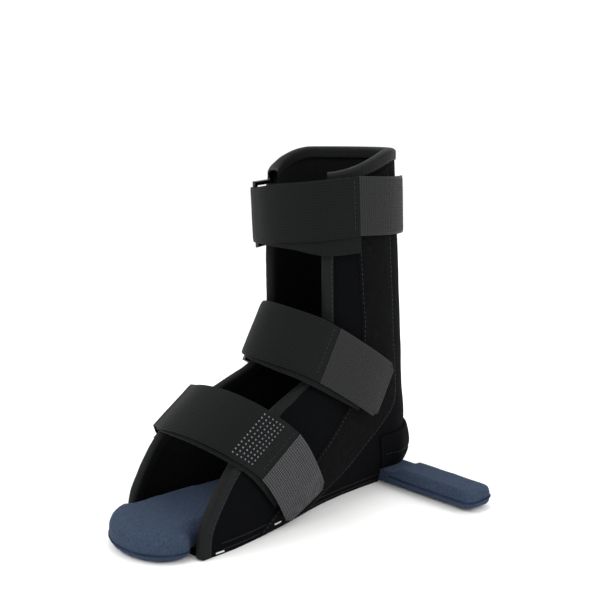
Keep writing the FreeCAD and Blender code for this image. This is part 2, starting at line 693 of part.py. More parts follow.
for name, strap in straps.items():
    front, rear = Vector(*strap["ring"]), Vector(*strap["ringRear"])
    outer = evenPath(strap["outer"])
    inner = evenPath(strap["inner"])
    leave = outer[0] - front
    heading = math.atan2(leave.y, leave.x)
    fold = foldPath(front, heading + 1.5 * math.pi, heading + math.pi / 2, foldRadius)
    straight = [between(fold[-1], outer[0], k) for k in (0.33, 0.67)]
    innerStart = fold[0] + Vector(math.cos(heading), math.sin(heading), 0) * foldOverlap
    ringSolid(strap, name)
    keep(name + "_inner_run", band(strap, [innerStart] + inner, -strapThick / 2, strapThick / 2,
                                   strapWidth))
    keep(name + "_outer_run", band(strap, fold + straight + outer, -strapThick / 2,
                                   strapThick / 2, strapWidth))
    keep(name + "_hook_tab", band(strap, evenPath(strap["tab"]), -tabThick / 2, tabThick / 2,
                                  strapWidth, strap["tabSkew"]))
    loop = foldPath(rear, 0, math.pi, ringWire / 2 + gap + webbingThick / 2)
    legs = evenPath(strap["webbingInner"]) + loop + evenPath(strap["webbingOuter"])
    keep(name + "_ring_webbing", band(strap, legs, -webbingThick / 2, webbingThick / 2,
                                      webbingWidth))


# ---------------------------------------------------------------- checks and export
doc.recompute()
for item in doc.Objects:
    if "Invalid" in item.State or "Error" in item.State:
        raise RuntimeError("%s did not build: %s" % (item.Label, item.State))
for piece in pieces:
    if piece.Shape.isNull() or not piece.Shape.isValid() or not piece.Shape.Solids:
        raise RuntimeError("%s has no valid solid" % piece.Label)
for piece in pieces:
    piece.Shape.exportStep("parts/%s.step" % piece.Label)
    print("%-24s %3d solid %9.0f mm3" % (piece.Label, len(piece.Shape.Solids),
                                         piece.Shape.Volume))
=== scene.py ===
import json
import math

import bmesh
import bpy
import numpy as np
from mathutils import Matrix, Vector, noise
from mathutils.bvhtree import BVHTree

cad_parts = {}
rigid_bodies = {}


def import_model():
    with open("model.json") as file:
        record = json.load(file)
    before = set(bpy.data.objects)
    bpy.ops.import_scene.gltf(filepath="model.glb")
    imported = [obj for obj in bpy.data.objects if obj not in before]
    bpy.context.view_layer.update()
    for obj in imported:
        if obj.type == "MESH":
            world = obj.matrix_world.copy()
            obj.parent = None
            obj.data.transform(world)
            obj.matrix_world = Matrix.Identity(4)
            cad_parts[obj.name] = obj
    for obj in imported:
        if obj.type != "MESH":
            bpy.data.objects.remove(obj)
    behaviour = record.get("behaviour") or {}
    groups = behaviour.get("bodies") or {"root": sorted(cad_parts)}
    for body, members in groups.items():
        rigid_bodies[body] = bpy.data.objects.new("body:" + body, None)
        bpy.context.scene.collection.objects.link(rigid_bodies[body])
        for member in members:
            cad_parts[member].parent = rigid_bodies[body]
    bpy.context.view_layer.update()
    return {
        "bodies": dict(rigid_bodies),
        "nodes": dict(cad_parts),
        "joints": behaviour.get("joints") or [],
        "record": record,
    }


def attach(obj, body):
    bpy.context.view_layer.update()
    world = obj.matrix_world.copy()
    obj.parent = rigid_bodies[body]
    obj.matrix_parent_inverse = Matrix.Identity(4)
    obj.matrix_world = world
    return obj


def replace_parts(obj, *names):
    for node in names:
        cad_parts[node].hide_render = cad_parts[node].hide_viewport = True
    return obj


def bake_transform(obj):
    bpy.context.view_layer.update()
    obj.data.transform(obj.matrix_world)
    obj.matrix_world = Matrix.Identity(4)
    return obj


# Night splint boot: velvet shell, padded T-shaped board, three elastic straps with rings.
# Lengths are millimetres in this file and become metres where a mesh is made.

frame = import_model()
nodes = frame["nodes"]
mm = 0.001
lateral, medial = 1, -1
sideNames = {lateral: "lateral", medial: "medial"}
print("frame loaded:", len(nodes), "nodes")


# camera, floor and light

studio = {
    "eye": (536.3, -567.7, 299.7),   # where the viewer stands
    "turn": 46.44,                   # degrees round from the toes towards the outer side
    "tip": 11.0,                     # degrees down
    "lens": 55.15,
    "sensor": 36, "nearClip": 0.02,  # mm and metres
    "floorHex": "#fcfcfb", "grainHex": "#fafaf9", "grainScale": 90.0, "floorRoughness": 0.85,
    "floorSize": 6000.0,
    # lamp sizes and places are metres, powers are watts
    "keySize": 1.1, "keyPower": 13.0, "keyPlace": (-0.25, -1.25, 1.35),
    "sideSize": 0.9, "sidePower": 8.0, "sidePlace": (1.35, 0.15, 0.95),
    "topSize": 1.4, "topPower": 7.0, "topPlace": (-0.5, 0.5, 1.6),
    "aim": (-0.02, -0.08, 0.12),     # metres, where every lamp points
    "worldLevel": 1.03,
}


def linear(hexColour):
    # sRGB hex to the linear values that shaders take
    channels = [int(hexColour[i:i + 2], 16) / 255 for i in (1, 3, 5)]
    return tuple(c / 12.92 if c <= 0.04045 else ((c + 0.055) / 1.055) ** 2.4
                 for c in channels) + (1.0,)


def addNode(tree, kind, inputs=None, **settings):
    # one node with its settings; an input is a value or a socket to link from
    node = tree.nodes.new(kind)
    for key, value in settings.items():
        setattr(node, key, value)
    for key, value in (inputs or {}).items():
        if isinstance(value, bpy.types.NodeSocket):
            tree.links.new(value, node.inputs[key])
        else:
            node.inputs[key].default_value = value
    return node


def newMaterial(name):
    material = bpy.data.materials.new(name)
    material.use_nodes = True
    material.node_tree.nodes.clear()
    return material, material.node_tree


def finishMaterial(tree, shader):
    addNode(tree, "ShaderNodeOutputMaterial", {"Surface": shader.outputs[0]})


def makeStudio():
    camera = bpy.data.objects.new("camera", bpy.data.cameras.new("camera"))
    bpy.context.scene.collection.objects.link(camera)
    camera.location = Vector(studio["eye"]) * mm
    camera.rotation_euler = (math.radians(90 - studio["tip"]), 0, math.radians(studio["turn"]))
    camera.data.lens = studio["lens"]
    camera.data.sensor_width = studio["sensor"]
    camera.data.clip_start = studio["nearClip"]
    bpy.context.scene.camera = camera

    half = studio["floorSize"] * mm / 2
    floorMesh = bpy.data.meshes.new("floor")
    floorMesh.from_pydata([(-half, -half, 0), (half, -half, 0), (half, half, 0), (-half, half, 0)],
                          [], [(0, 1, 2, 3)])
    floor = bpy.data.objects.new("floor", floorMesh)
    bpy.context.scene.collection.objects.link(floor)
    paint, tree = newMaterial("pale studio paper")
    grain = addNode(tree, "ShaderNodeTexNoise", {"Scale": studio["grainScale"], "Detail": 3.0})
    tone = addNode(tree, "ShaderNodeMix", {0: grain.outputs[0], 6: linear(studio["grainHex"]),
                                           7: linear(studio["floorHex"])}, data_type="RGBA")
    finishMaterial(tree, addNode(tree, "ShaderNodeBsdfPrincipled",
                                 {"Base Color": tone.outputs[2], "Roughness": studio["floorRoughness"]}))
    floorMesh.materials.append(paint)

    aim = Vector(studio["aim"])
    for key in ("key", "side", "top"):
        light = bpy.data.lights.new(key + "Softbox", "AREA")
        light.shape = "DISK"
        light.size = studio[key + "Size"]
        light.energy = studio[key + "Power"]
        lamp = bpy.data.objects.new(key + "Softbox", light)
        lamp.location = studio[key + "Place"]
        lamp.rotation_euler = (aim - lamp.location).to_track_quat("-Z", "Y").to_euler()
        bpy.context.scene.collection.objects.link(lamp)
    world = bpy.data.worlds.new("studio")
    world.use_nodes = True
    world.node_tree.nodes["Background"].inputs[0].default_value = (1, 1, 1, 1)
    world.node_tree.nodes["Background"].inputs[1].default_value = studio["worldLevel"]
    bpy.context.scene.world = world
    bpy.context.scene.view_settings.view_transform = "Standard"


makeStudio()
print("studio ready")


# form of the boot, the same as the frame's: a horseshoe at each level

form = {
    "calfRadius": 46.0,
    "rimBack": 278.0, "rimFront": 260.0,
    "seamGirth": 23.3,
    "lining": (0.0, 2.0), "panel": (3.2, 5.6), "loop": (5.6, 7.1),
    "backEdge": [(0, 38.0), (20, 39.0), (40, 37.4), (62, 36.0), (86, 31.0), (122, 26.2),
                 (157, 23.4), (206, 19.8), (278, 13.4)],
    "backWidth": [(0, 24.0), (20, 31.0), (40, 35.0), (62, 38.0), (90, 41.5), (120, 45.0),
                  (150, 46.0), (278, 46.0)],
    "frontEdge": [(0, -200.0), (15, -199.0), (29, -194.0), (61, -172.0), (80, -146.0),
                  (89, -128.0), (97, -108.0), (104, -90.0), (112, -76.0), (124, -68.0),
                  (144, -65.0), (200, -65.0), (278, -61.0)],
    "soleEdge": [(-200, 40.0), (-168, 40.8), (-124, 35.3), (-60, 24.7), (-3, 23.4), (40, 23.4)],
    "wallEdge": [(-200, 40.5), (-168, 41.5), (-124, 38.5), (-100, 38.0), (-60, 38.0),
                 (-20, 36.0)],
    "wallHeight": 45.0,
    "footBlend": 60.0,                      # the round of the heel turns into the foot
    "calfSweep": 50, "calfNarrow": 0.12,    # degrees, least squared width left at the front
    "ankleLow": 60.0, "ankleSpan": 70.0,    # heights over which the foot turns into the calf
    "rimBend": 190.0, "rimSlopeStart": 38.0, "rimSlopeLength": 60.0,
}
backGirth = form["calfRadius"] * math.pi / 2
tunnelFront, tunnelTop = -3.1, 13.7      # room for the crossbar under the heel


def smooth(x):
    x = np.clip(x, 0.0, 1.0)
    return x * x * (3.0 - 2.0 * x)


def through(points, x):
    # smooth values at x of a curve through (x, value) points
    xs, ys = np.array(points, float).T
    slopes = np.array([(ys[min(i + 1, len(xs) - 1)] - ys[max(i - 1, 0)])
                       / (xs[min(i + 1, len(xs) - 1)] - xs[max(i - 1, 0)])
                       for i in range(len(xs))])
    x = np.clip(np.asarray(x, float), xs[0], xs[-1])
    i = np.clip(np.searchsorted(xs, x, side="right") - 1, 0, len(xs) - 2)
    span = xs[i + 1] - xs[i]
    k = (x - xs[i]) / span
    return ((2 * k**3 - 3 * k**2 + 1) * ys[i] + (k**3 - 2 * k**2 + k) * span * slopes[i]
            + (-2 * k**3 + 3 * k**2) * ys[i + 1] + (k**3 - k**2) * span * slopes[i + 1])


def levelCentre(z):
    return through(form["backEdge"], z) - through(form["backWidth"], z)


def edgeGirth(z):
    return through(form["frontEdge"], z) - levelCentre(z)


def halfWidth(y, z):
    ahead = levelCentre(z) - y
    around = through(form["backWidth"], z)
    flare = np.sin(math.pi / 2 * np.clip(z / form["wallHeight"], 0, 1))
    sole, wall = through(form["soleEdge"], y), through(form["wallEdge"], y)
    foot = around + (sole + (wall - sole) * flare - around) * smooth(ahead / form["footBlend"])
    reach = (levelCentre(z) - through(form["frontEdge"], z)) / math.sin(math.radians(form["calfSweep"]))
    calf = around * np.sqrt(np.maximum(1.0 - (ahead / reach) ** 2, form["calfNarrow"]))
    return foot + (calf - foot) * smooth((z - form["ankleLow"]) / form["ankleSpan"])


def formPoint(girth, z):
    girth, z = np.broadcast_arrays(np.asarray(girth, float), np.asarray(z, float))
    centre, around = levelCentre(z), through(form["backWidth"], z)
    angle = np.clip(girth, 0, None) / form["calfRadius"]
    ahead = centre + np.minimum(girth, 0)
    x = np.where(girth >= 0, around * np.cos(angle), halfWidth(ahead, z))
    y = np.where(girth >= 0, centre + around * np.sin(angle), ahead)
    return np.stack([x, y, z], -1)


def outwardAt(girth, z):
    step = 0.4                           # mm either side, to feel the slope
    along = formPoint(girth + step, z) - formPoint(girth - step, z)
    upward = formPoint(girth, z + step) - formPoint(girth, z - step)
    normal = np.cross(along, upward)
    normal[..., 2] = 0
    return normal / np.linalg.norm(normal, axis=-1, keepdims=True)


def onForm(girth, z, offset, side=lateral):
    spot = formPoint(girth, z) + outwardAt(girth, z) * np.asarray(offset)[..., None]
    return spot * np.array([side, 1, 1])


def rimDrop(girth):
    # how far the rim has come down at this girth
    share = smooth((girth + form["rimSlopeStart"]) / form["rimSlopeLength"])
    return (form["rimBack"] - form["rimFront"]) * (1.0 - share)


def rimmed(girth, z):
    # a height with the slope of the rim taken up above the bend
    above = (z - form["rimBend"]) / (form["rimBack"] - form["rimBend"])
    return z - rimDrop(girth) * smooth(above)


seedStep = 7.31                          # keeps the pattern of each seed apart


def ripple(points, size, seed):
    # soft random swelling, -1 to 1, with bumps of about this size
    flat = np.asarray(points, float).reshape(-1, 3) / size + seed * seedStep
    values = [noise.noise(Vector(p)) for p in flat]
    return np.array(values).reshape(np.asarray(points).shape[:-1])


# mesh making

def linkObject(name, mesh, material):
    piece = bpy.data.objects.new(name, mesh)
    bpy.context.scene.collection.objects.link(piece)
    if material:
        mesh.materials.append(material)
    mesh.polygons.foreach_set("use_smooth", [True] * len(mesh.polygons))
    return piece


def sharpen(piece, degrees=40):
    # flat-looking folds stay crisp, the rest is shaded smooth
    mesh = piece.data
    edges = bmesh.new()
    edges.from_mesh(mesh)
    for edge in edges.edges:
        edge.smooth = len(edge.link_faces) == 2 and edge.calc_face_angle() < math.radians(degrees)
    edges.to_mesh(mesh)
    edges.free()


def faceOutward(mesh):
    fixed = bmesh.new()
    fixed.from_mesh(mesh)
    bmesh.ops.recalc_face_normals(fixed, faces=fixed.faces)
    fixed.to_mesh(mesh)
    fixed.free()


def slab(name, outer, inner, material, body="root"):
    # closed sheet between two grids of points; its map holds millimetres along and across
    rows, columns = outer.shape[:2]
    count = rows * columns
    points = np.concatenate([outer.reshape(-1, 3), inner.reshape(-1, 3)]) * mm
    index = np.arange(count).reshape(rows, columns)
    faces = []
    for i in range(rows - 1):
        for j in range(columns - 1):
            a, b, c, d = index[i, j], index[i, j + 1], index[i + 1, j + 1], index[i + 1, j]
            faces += [(a, b, c, d), (d + count, c + count, b + count, a + count)]
    rim = (list(index[0, :]) + list(index[1:, -1]) + list(index[-1, -2::-1])
           + list(index[-2:0:-1, 0]))
    for a, b in zip(rim, rim[1:] + rim[:1]):
        faces.append((b, a, a + count, b + count))
    mesh = bpy.data.meshes.new(name)
    mesh.from_pydata(points.tolist(), [], [tuple(int(i) for i in f) for f in faces])
    middle = (outer + inner) / 2
    along = np.zeros((rows, columns))
    along[1:] = np.cumsum(np.linalg.norm(np.diff(middle, axis=0), axis=-1), axis=0)
    across = np.zeros((rows, columns))
    across[:, 1:] = np.cumsum(np.linalg.norm(np.diff(middle, axis=1), axis=-1), axis=1)
    flat = np.tile(np.stack([along, across], -1).reshape(-1, 2), (2, 1))
    weave = mesh.uv_layers.new(name="weave")
    corners = np.zeros(len(mesh.loops), int)
    mesh.loops.foreach_get("vertex_index", corners)
    weave.data.foreach_set("uv", flat[corners].ravel())
    faceOutward(mesh)
    piece = linkObject(name, mesh, material)
    sharpen(piece)
    if body:
        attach(piece, body)
    return piece


threadLook = {
    "length": 2.6, "pitch": 3.8, "thick": 0.42, "sides": 6, "lead": 0.25,
    "arch": 0.35, "sunk": 0.2, "feel": 0.5,
    "profile": ((0, 0.35), (0.18, 1), (0.82, 1), (1, 0.35)),   # shares of length and thickness
}


def stitchRun(name, points, normals, body="root"):
    # separate threads along a line, each a small rounded bar sunk a little into the cloth
    pitch, thick, sides = threadLook["pitch"], threadLook["thick"], threadLook["sides"]
    points, normals = np.asarray(points, float), np.asarray(normals, float)
    steps = np.linalg.norm(np.diff(points, axis=0), axis=1)
    reach = np.concatenate([[0], np.cumsum(steps)])

    def at(t, table):
        return np.array([np.interp(t, reach, table[:, i]) for i in range(3)])

    vertices, faces = [], []
    for k in range(int(reach[-1] // pitch)):
        start = k * pitch + pitch * threadLook["lead"]
        ring = []
        for share, shrink in threadLook["profile"]:
            t = min(start + share * threadLook["length"], reach[-1])
            centre, normal = at(t, points), at(t, normals)
            ahead = at(min(t + threadLook["feel"], reach[-1]), points)
            behind = at(max(t - threadLook["feel"], 0), points)
            tangent = (ahead - behind) / (np.linalg.norm(ahead - behind) + 1e-9)
            across = np.cross(tangent, normal)
            across /= np.linalg.norm(across) + 1e-9
            lift = normal * (thick * threadLook["arch"] * shrink - thick * threadLook["sunk"])
            ring.append(len(vertices))
            for q in range(sides):
                a = 2 * math.pi * q / sides
                vertices.append((centre + lift + (across * math.cos(a) + normal * math.sin(a))
                                 * thick / 2 * shrink) * mm)
        for a, b in zip(ring, ring[1:]):
            faces += [(a + q, a + (q + 1) % sides, b + (q + 1) % sides, b + q)
                      for q in range(sides)]
        faces += [tuple(ring[0] + q for q in reversed(range(sides))),
                  tuple(ring[-1] + q for q in range(sides))]
    mesh = bpy.data.meshes.new(name)
    mesh.from_pydata([tuple(v) for v in vertices], [], faces)
    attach(linkObject(name, mesh, cloth["thread"]), body)


cordSides = 8


def tube(name, points, radius, material):
    # round cord along a line, closed at both ends
    sides = cordSides
    points = np.asarray(points, float)
    tangents = np.gradient(points, axis=0)
    tangents /= np.linalg.norm(tangents, axis=1, keepdims=True)
    across = np.cross(tangents, np.array([0.0, 0.0, 1.0]))
    across /= np.linalg.norm(across, axis=1, keepdims=True)
    upward = np.cross(across, tangents)
    angles = np.arange(sides) * 2 * math.pi / sides
    rings = (points[:, None] + radius * (across[:, None] * np.cos(angles)[None, :, None]
                                         + upward[:, None] * np.sin(angles)[None, :, None]))
    count = len(points)
    faces = [(i * sides + q, i * sides + (q + 1) % sides, (i + 1) * sides + (q + 1) % sides,
              (i + 1) * sides + q) for i in range(count - 1) for q in range(sides)]
    faces += [tuple(reversed(range(sides))), tuple((count - 1) * sides + q for q in range(sides))]
    mesh = bpy.data.meshes.new(name)
    mesh.from_pydata((rings.reshape(-1, 3) * mm).tolist(), [], faces)
    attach(linkObject(name, mesh, material), "root")


def curveThrough(points, spacing):
    # evenly spaced points on a natural cubic curve through a few
    points = np.asarray(points, float)
    steps = np.linalg.norm(np.diff(points, axis=0), axis=1)
    knots = np.concatenate([[0], np.cumsum(steps)])
    n = len(points)
    system = np.eye(n)
    right = np.zeros_like(points)
    for i in range(1, n - 1):
        system[i, i - 1] = steps[i - 1]
        system[i, i] = 2 * (steps[i - 1] + steps[i])
        system[i, i + 1] = steps[i]
        right[i] = 6 * ((points[i + 1] - points[i]) / steps[i]
                        - (points[i] - points[i - 1]) / steps[i - 1])
    bend = np.linalg.solve(system, right)

    def at(t):
        i = np.clip(np.searchsorted(knots, t, side="right") - 1, 0, n - 2)
        h = steps[i][:, None]
        a, b = (knots[i + 1] - t)[:, None], (t - knots[i])[:, None]
        return (bend[i] * a**3 / (6 * h) + bend[i + 1] * b**3 / (6 * h)
                + (points[i] / h - bend[i] * h / 6) * a
                + (points[i + 1] / h - bend[i + 1] * h / 6) * b)

    fineSteps = 400
    return evenly(at(np.linspace(0, knots[-1], fineSteps)), spacing)


def evenly(points, spacing):
    # the same line with its points spaced evenly
    points = np.asarray(points, float)
    reach = np.concatenate([[0], np.cumsum(np.linalg.norm(np.diff(points, axis=0), axis=1))])
    count = max(int(round(reach[-1] / spacing)) + 1, 2)
    t = np.linspace(0, reach[-1], count)
    return np.stack([np.interp(t, reach, points[:, i]) for i in range(points.shape[1])], -1)


# finishes

def bandWaves(tree, pitch, direction):
    # even ridges this many millimetres apart on the piece's own map; at scale 1 they are
    # pi / 10 apart
    place = addNode(tree, "ShaderNodeUVMap", uv_map="weave").outputs[0]
    return addNode(tree, "ShaderNodeTexWave", {"Vector": place, "Scale": math.pi / 10 / pitch},
                   bands_direction=direction).outputs[1]


def fibres(tree, size, detail=4.0):
    # fine random fibres or blotches of about this size in millimetres
    place = addNode(tree, "ShaderNodeTexCoord").outputs["Object"]
    return addNode(tree, "ShaderNodeTexNoise", {"Vector": place, "Scale": 1 / (size * mm),
                                                "Detail": detail}).outputs[0]


def multiplied(tree, first, second):
    return addNode(tree, "ShaderNodeMath", {0: first, 1: second}, operation="MULTIPLY").outputs[0]


def surface(tree, look, height):
    # a shader whose height pattern both tints and raises the surface
    tone = addNode(tree, "ShaderNodeMix", {0: height, 6: linear(look["darkHex"]),
                                           7: linear(look["lightHex"])}, data_type="RGBA")
    relief = addNode(tree, "ShaderNodeBump", {"Height": height, "Strength": look["relief"],
                                              "Distance": look["depth"] * mm})
    values = {"Base Color": tone.outputs[2], "Roughness": look["roughness"],
              "IOR": look.get("ior", 1.5), "Metallic": look.get("metallic", 0.0),
              "Specular IOR Level": look.get("specular", 0.5),
              "Normal": relief.outputs[0]}
    if "sheen" in look:
        values["Sheen Weight"] = look["sheen"]
        values["Sheen Roughness"] = look["sheenRoughness"]
        values["Sheen Tint"] = linear(look["sheenHex"])
    finishMaterial(tree, addNode(tree, "ShaderNodeBsdfPrincipled", values))


finishes = {
    # brushed nylon: deep pile traps light, with a faint bloom where it turns away
    "velvet": {"darkHex": "#030304", "lightHex": "#0c0d0f", "roughness": 0.95, "relief": 0.6,
               "depth": 0.5, "specular": 0.04, "sheen": 0.015, "sheenRoughness": 0.35,
               "sheenHex": "#8a8f99"},
    # jersey backing, a flat soft black
    "lining": {"darkHex": "#060607", "lightHex": "#121315", "roughness": 0.9, "relief": 0.5,
               "depth": 0.4, "specular": 0.1, "sheen": 0.03, "sheenRoughness": 0.5,
               "sheenHex": "#7c7f86"},
    # unbroken loop pile, speckled and a little greyer than the velvet
    "loop": {"darkHex": "#020203", "lightHex": "#131415", "roughness": 0.95, "relief": 1.0,
             "depth": 0.9, "specular": 0.07, "sheen": 0.02, "sheenRoughness": 0.5,
             "sheenHex": "#9a9ca0"},
    # woven polyester tape, shows a dull highlight along each fold
    "tape": {"darkHex": "#050606", "lightHex": "#101113", "roughness": 0.6, "relief": 0.6,
             "depth": 0.3, "specular": 0.14, "sheen": 0.02, "sheenRoughness": 0.4,
             "sheenHex": "#a0a4aa"},
    # rubber-cored elastic, greenish black with fine ribs
    "elastic": {"darkHex": "#050606", "lightHex": "#111413", "roughness": 0.7, "relief": 0.6,
                "depth": 0.35, "specular": 0.12, "sheen": 0.03, "sheenRoughness": 0.4,
                "sheenHex": "#8d9490"},
    # nylon hooks, a cool grey glint in rows
    "hook": {"darkHex": "#090a0b", "lightHex": "#1d1e21", "roughness": 0.5, "relief": 0.8,
             "depth": 0.4, "specular": 0.25, "sheen": 0.05, "sheenRoughness": 0.3,
             "sheenHex": "#b9bac0"},
    # the same hooks painted a lighter grey all over: a painted highlight for the lower tab, which faces
    # the light more
    "hookPaintedHighlight": {"darkHex": "#161618", "lightHex": "#515255", "roughness": 0.55, "relief": 0.8,
                 "depth": 0.4, "specular": 0.3, "sheen": 0.08, "sheenRoughness": 0.4,
                 "sheenHex": "#c6c6c8"},
    # navy fleece, matt and woolly
    "fleece": {"darkHex": "#1b2331", "lightHex": "#3c485b", "roughness": 1.0, "relief": 0.8,
               "depth": 0.8, "specular": 0.08, "sheen": 0.09, "sheenRoughness": 0.6,
               "sheenHex": "#8fa0b8"},
    # welt of the fleece, a darker line
    "welt": {"darkHex": "#121b2c", "lightHex": "#26334a", "roughness": 1.0, "relief": 0.5,
             "depth": 0.3, "specular": 0.1},
    # sewing thread, a thin satin line
    "thread": {"darkHex": "#101115", "lightHex": "#2b2d33", "roughness": 0.5, "relief": 0.3,
               "depth": 0.1, "specular": 0.3},
    # pale silicone dots woven into the lower strap
    "dots": {"darkHex": "#4f5055", "lightHex": "#77787d", "roughness": 0.5, "relief": 0.2,
             "depth": 0.05, "ior": 1.41, "specular": 0.3},
    # acetal ring, deep black with a clear reflection
    "ring": {"darkHex": "#040405", "lightHex": "#09090a", "roughness": 0.2, "relief": 0.1,
             "depth": 0.05, "ior": 1.48},
    # bright steel tacks
    "tack": {"darkHex": "#dcdddf", "lightHex": "#f2f2f3", "roughness": 0.3, "relief": 0.1,
             "depth": 0.02, "metallic": 0.6},
    # hidden: aluminium stays, birch boards, zinc screws
    "stay": {"darkHex": "#9fa2a5", "lightHex": "#b9bcbf", "roughness": 0.35, "relief": 0.1,
             "depth": 0.02, "metallic": 1.0},
    "board": {"darkHex": "#b98f5c", "lightHex": "#d9b988", "roughness": 0.6, "relief": 0.2,
              "depth": 0.1},
    "screw": {"darkHex": "#a9abad", "lightHex": "#c6c8ca", "roughness": 0.3, "relief": 0.1,
              "depth": 0.02, "metallic": 1.0},
}
weaves = {  # millimetres; pitches under 1.5 are coarser than real so that they show
    "velvetNap": 0.9, "jerseyPitch": 1.4, "loopNap": 1.6, "tapePitch": 1.3, "elasticPitch": 1.6,
    "hookPitch": 2.0, "fleeceNap": 1.8, "smoothGrain": 12.0,
    "loopClump": 3, "cordSpread": 1.3,   # times the pitch
}
titles = {
    "velvet": "brushed nylon velvet", "lining": "knitted jersey lining",
    "loop": "loop pile strip", "tape": "woven binding tape", "elastic": "ribbed elastic",
    # the lighter hook finish is a painted highlight
    "hook": "nylon hook tape", "hookPaintedHighlight": "hook tape with painted highlight", "fleece": "navy fleece",
    "welt": "fleece welt", "thread": "polyester thread", "dots": "silicone grip dots",
    "ring": "black acetal", "tack": "steel wire tack", "stay": "aluminium stay",
    "board": "birch plywood", "screw": "zinc plated steel",
}


def makeFinishes():
    made = {}
    for name, look in finishes.items():
        material, tree = newMaterial(titles[name])
        if name == "velvet":
            height = fibres(tree, weaves["velvetNap"])
        elif name == "lining":
            height = multiplied(tree, bandWaves(tree, weaves["jerseyPitch"], "X"),
                                fibres(tree, weaves["jerseyPitch"]))
        elif name == "loop":
            height = multiplied(tree, fibres(tree, weaves["loopNap"], detail=6.0),
                                fibres(tree, weaves["loopNap"] * weaves["loopClump"],
                                       detail=2.0))
        elif name == "tape":
            height = bandWaves(tree, weaves["tapePitch"], "X")
        elif name == "elastic":
            cordPitch = weaves["elasticPitch"] * weaves["cordSpread"]
            height = multiplied(tree, bandWaves(tree, weaves["elasticPitch"], "X"),
                                bandWaves(tree, cordPitch, "Y"))
        elif name in ("hook", "hookPaintedHighlight"):
            height = multiplied(tree, bandWaves(tree, weaves["hookPitch"], "X"),
                                bandWaves(tree, weaves["hookPitch"], "Y"))
        elif name == "fleece":
            height = fibres(tree, weaves["fleeceNap"], detail=8.0)
        else:
            height = fibres(tree, weaves["smoothGrain"], detail=2.0)
        surface(tree, look, height)
        made[name] = material
    return made


cloth = makeFinishes()
print("finishes made:", len(cloth))


# shell: velvet panels, jersey linings, sole

shellLook = {
    "levelStep": 3.4,
    "split": 0.838, "splitGap": 0.002,    # share round a side where it steps over the crossbar
    "frontColumns": 52, "rearColumns": 14, "backColumns": 61,
    "seamGap": 0.15, "tunnelGap": 0.1, "heelFade": 4,
    "sway": 0.55, "swaySize": 55.0,       # slow unevenness of the laminate
    "crease": 0.22, "creaseSize": 16.0,   # small puckers
    "sidesApart": 40.0,                   # gives each side its own unevenness
}


def sway(girth, z, side):
    # how far the whole laminate stands off its form, the same for every layer
    girth, z = np.broadcast_arrays(np.asarray(girth, float), np.asarray(z, float))
    spots = np.stack([girth, z, np.full(girth.shape, side * shellLook["sidesApart"])], -1)
    return (shellLook["sway"] * ripple(spots, shellLook["swaySize"], 1)
            + shellLook["crease"] * ripple(spots, shellLook["creaseSize"], 2))


def layerPoint(girth, z, offset, side):
    return onForm(girth, z, offset + sway(girth, z, side), side)


def sidePanel(side, low, high, firstLevel):
    # grids of a side layer from its front edge to the back seam, stepped over the crossbar
    split = shellLook["split"]
    v = np.concatenate([np.linspace(0, split, shellLook["frontColumns"]),
                        np.linspace(split + shellLook["splitGap"], 1, shellLook["rearColumns"])])
    t = np.linspace(0, 1, int(form["rimBack"] / shellLook["levelStep"]))
    foot = np.where(v > split, tunnelTop, firstLevel)
    z = foot[None] + (form["rimBack"] - foot[None]) * t[:, None]
    girth = edgeGirth(z) + (form["seamGirth"] - shellLook["seamGap"] - edgeGirth(z)) * v[None]
    level = rimmed(girth, z)
    return [layerPoint(girth, level, offset, side) for offset in (high, low)]


def backPanel(low, high):
    v = np.linspace(-1, 1, shellLook["backColumns"])
    z = np.linspace(tunnelTop + shellLook["tunnelGap"], form["rimBack"],
                    int(form["rimBack"] / shellLook["levelStep"]))[:, None]
    grids = []
    for offset in (high, low):
        columns = []
        for value in v:
            side = lateral if value >= 0 else medial
            girth = (backGirth
                     + (form["seamGirth"] + shellLook["seamGap"] - backGirth) * abs(value))
            level = rimmed(girth, z[:, 0])
            # the unevenness of each side fades out at the middle of the heel
            lift = sway(girth, level, side) * smooth(abs(value) * shellLook["heelFade"])
            columns.append(onForm(girth, level, offset + lift, side))
        grids.append(np.stack(columns, 1))
    return grids


for side, sideName in sideNames.items():
    shell = slab(sideName + "_shell", *sidePanel(side, *form["panel"], 0.0), cloth["velvet"])
    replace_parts(shell, sideName + "_panel")
    lining = slab(sideName + "_jersey", *sidePanel(side, *form["lining"], 2.0), cloth["lining"])
    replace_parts(lining, sideName + "_lining")
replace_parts(slab("back_shell", *backPanel(*form["panel"]), cloth["velvet"]),
                    "back_panel")
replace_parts(slab("back_jersey", *backPanel(*form["lining"]), cloth["lining"]),
                    "back_lining")

soleLook = {"front": -200, "thick": 1.7, "overhang": 3.7, "rows": 60, "columns": 31}
soleYs = np.linspace(soleLook["front"], tunnelFront, soleLook["rows"])[:, None]
soleXs = ((through(form["soleEdge"], soleYs) + soleLook["overhang"])
          * np.linspace(-1, 1, soleLook["columns"])[None])
soleFlat = np.stack([soleXs, np.broadcast_to(soleYs, soleXs.shape), np.zeros(soleXs.shape)], -1)
sole = slab("sole_sheet", soleFlat + np.array([0, 0, soleLook["thick"]]), soleFlat,
            cloth["velvet"])
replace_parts(sole, "sole_panel")

# two cords run in the hem along the foot of each side
hemLook = {"heights": (3.4, 8.2), "radius": 0.7, "front": -196.0, "rear": -15.0, "steps": 130}
for side, sideName in sideNames.items():
    for row, height in enumerate(hemLook["heights"]):
        girth = np.linspace(hemLook["rear"], hemLook["front"], hemLook["steps"])
        line = layerPoint(girth, np.full(girth.shape, height), form["panel"][1], side)
        tube(sideName + "_hem_cord_%d" % row, line, hemLook["radius"], cloth["tape"])
print("shell made")


# loop strips sewn down each side

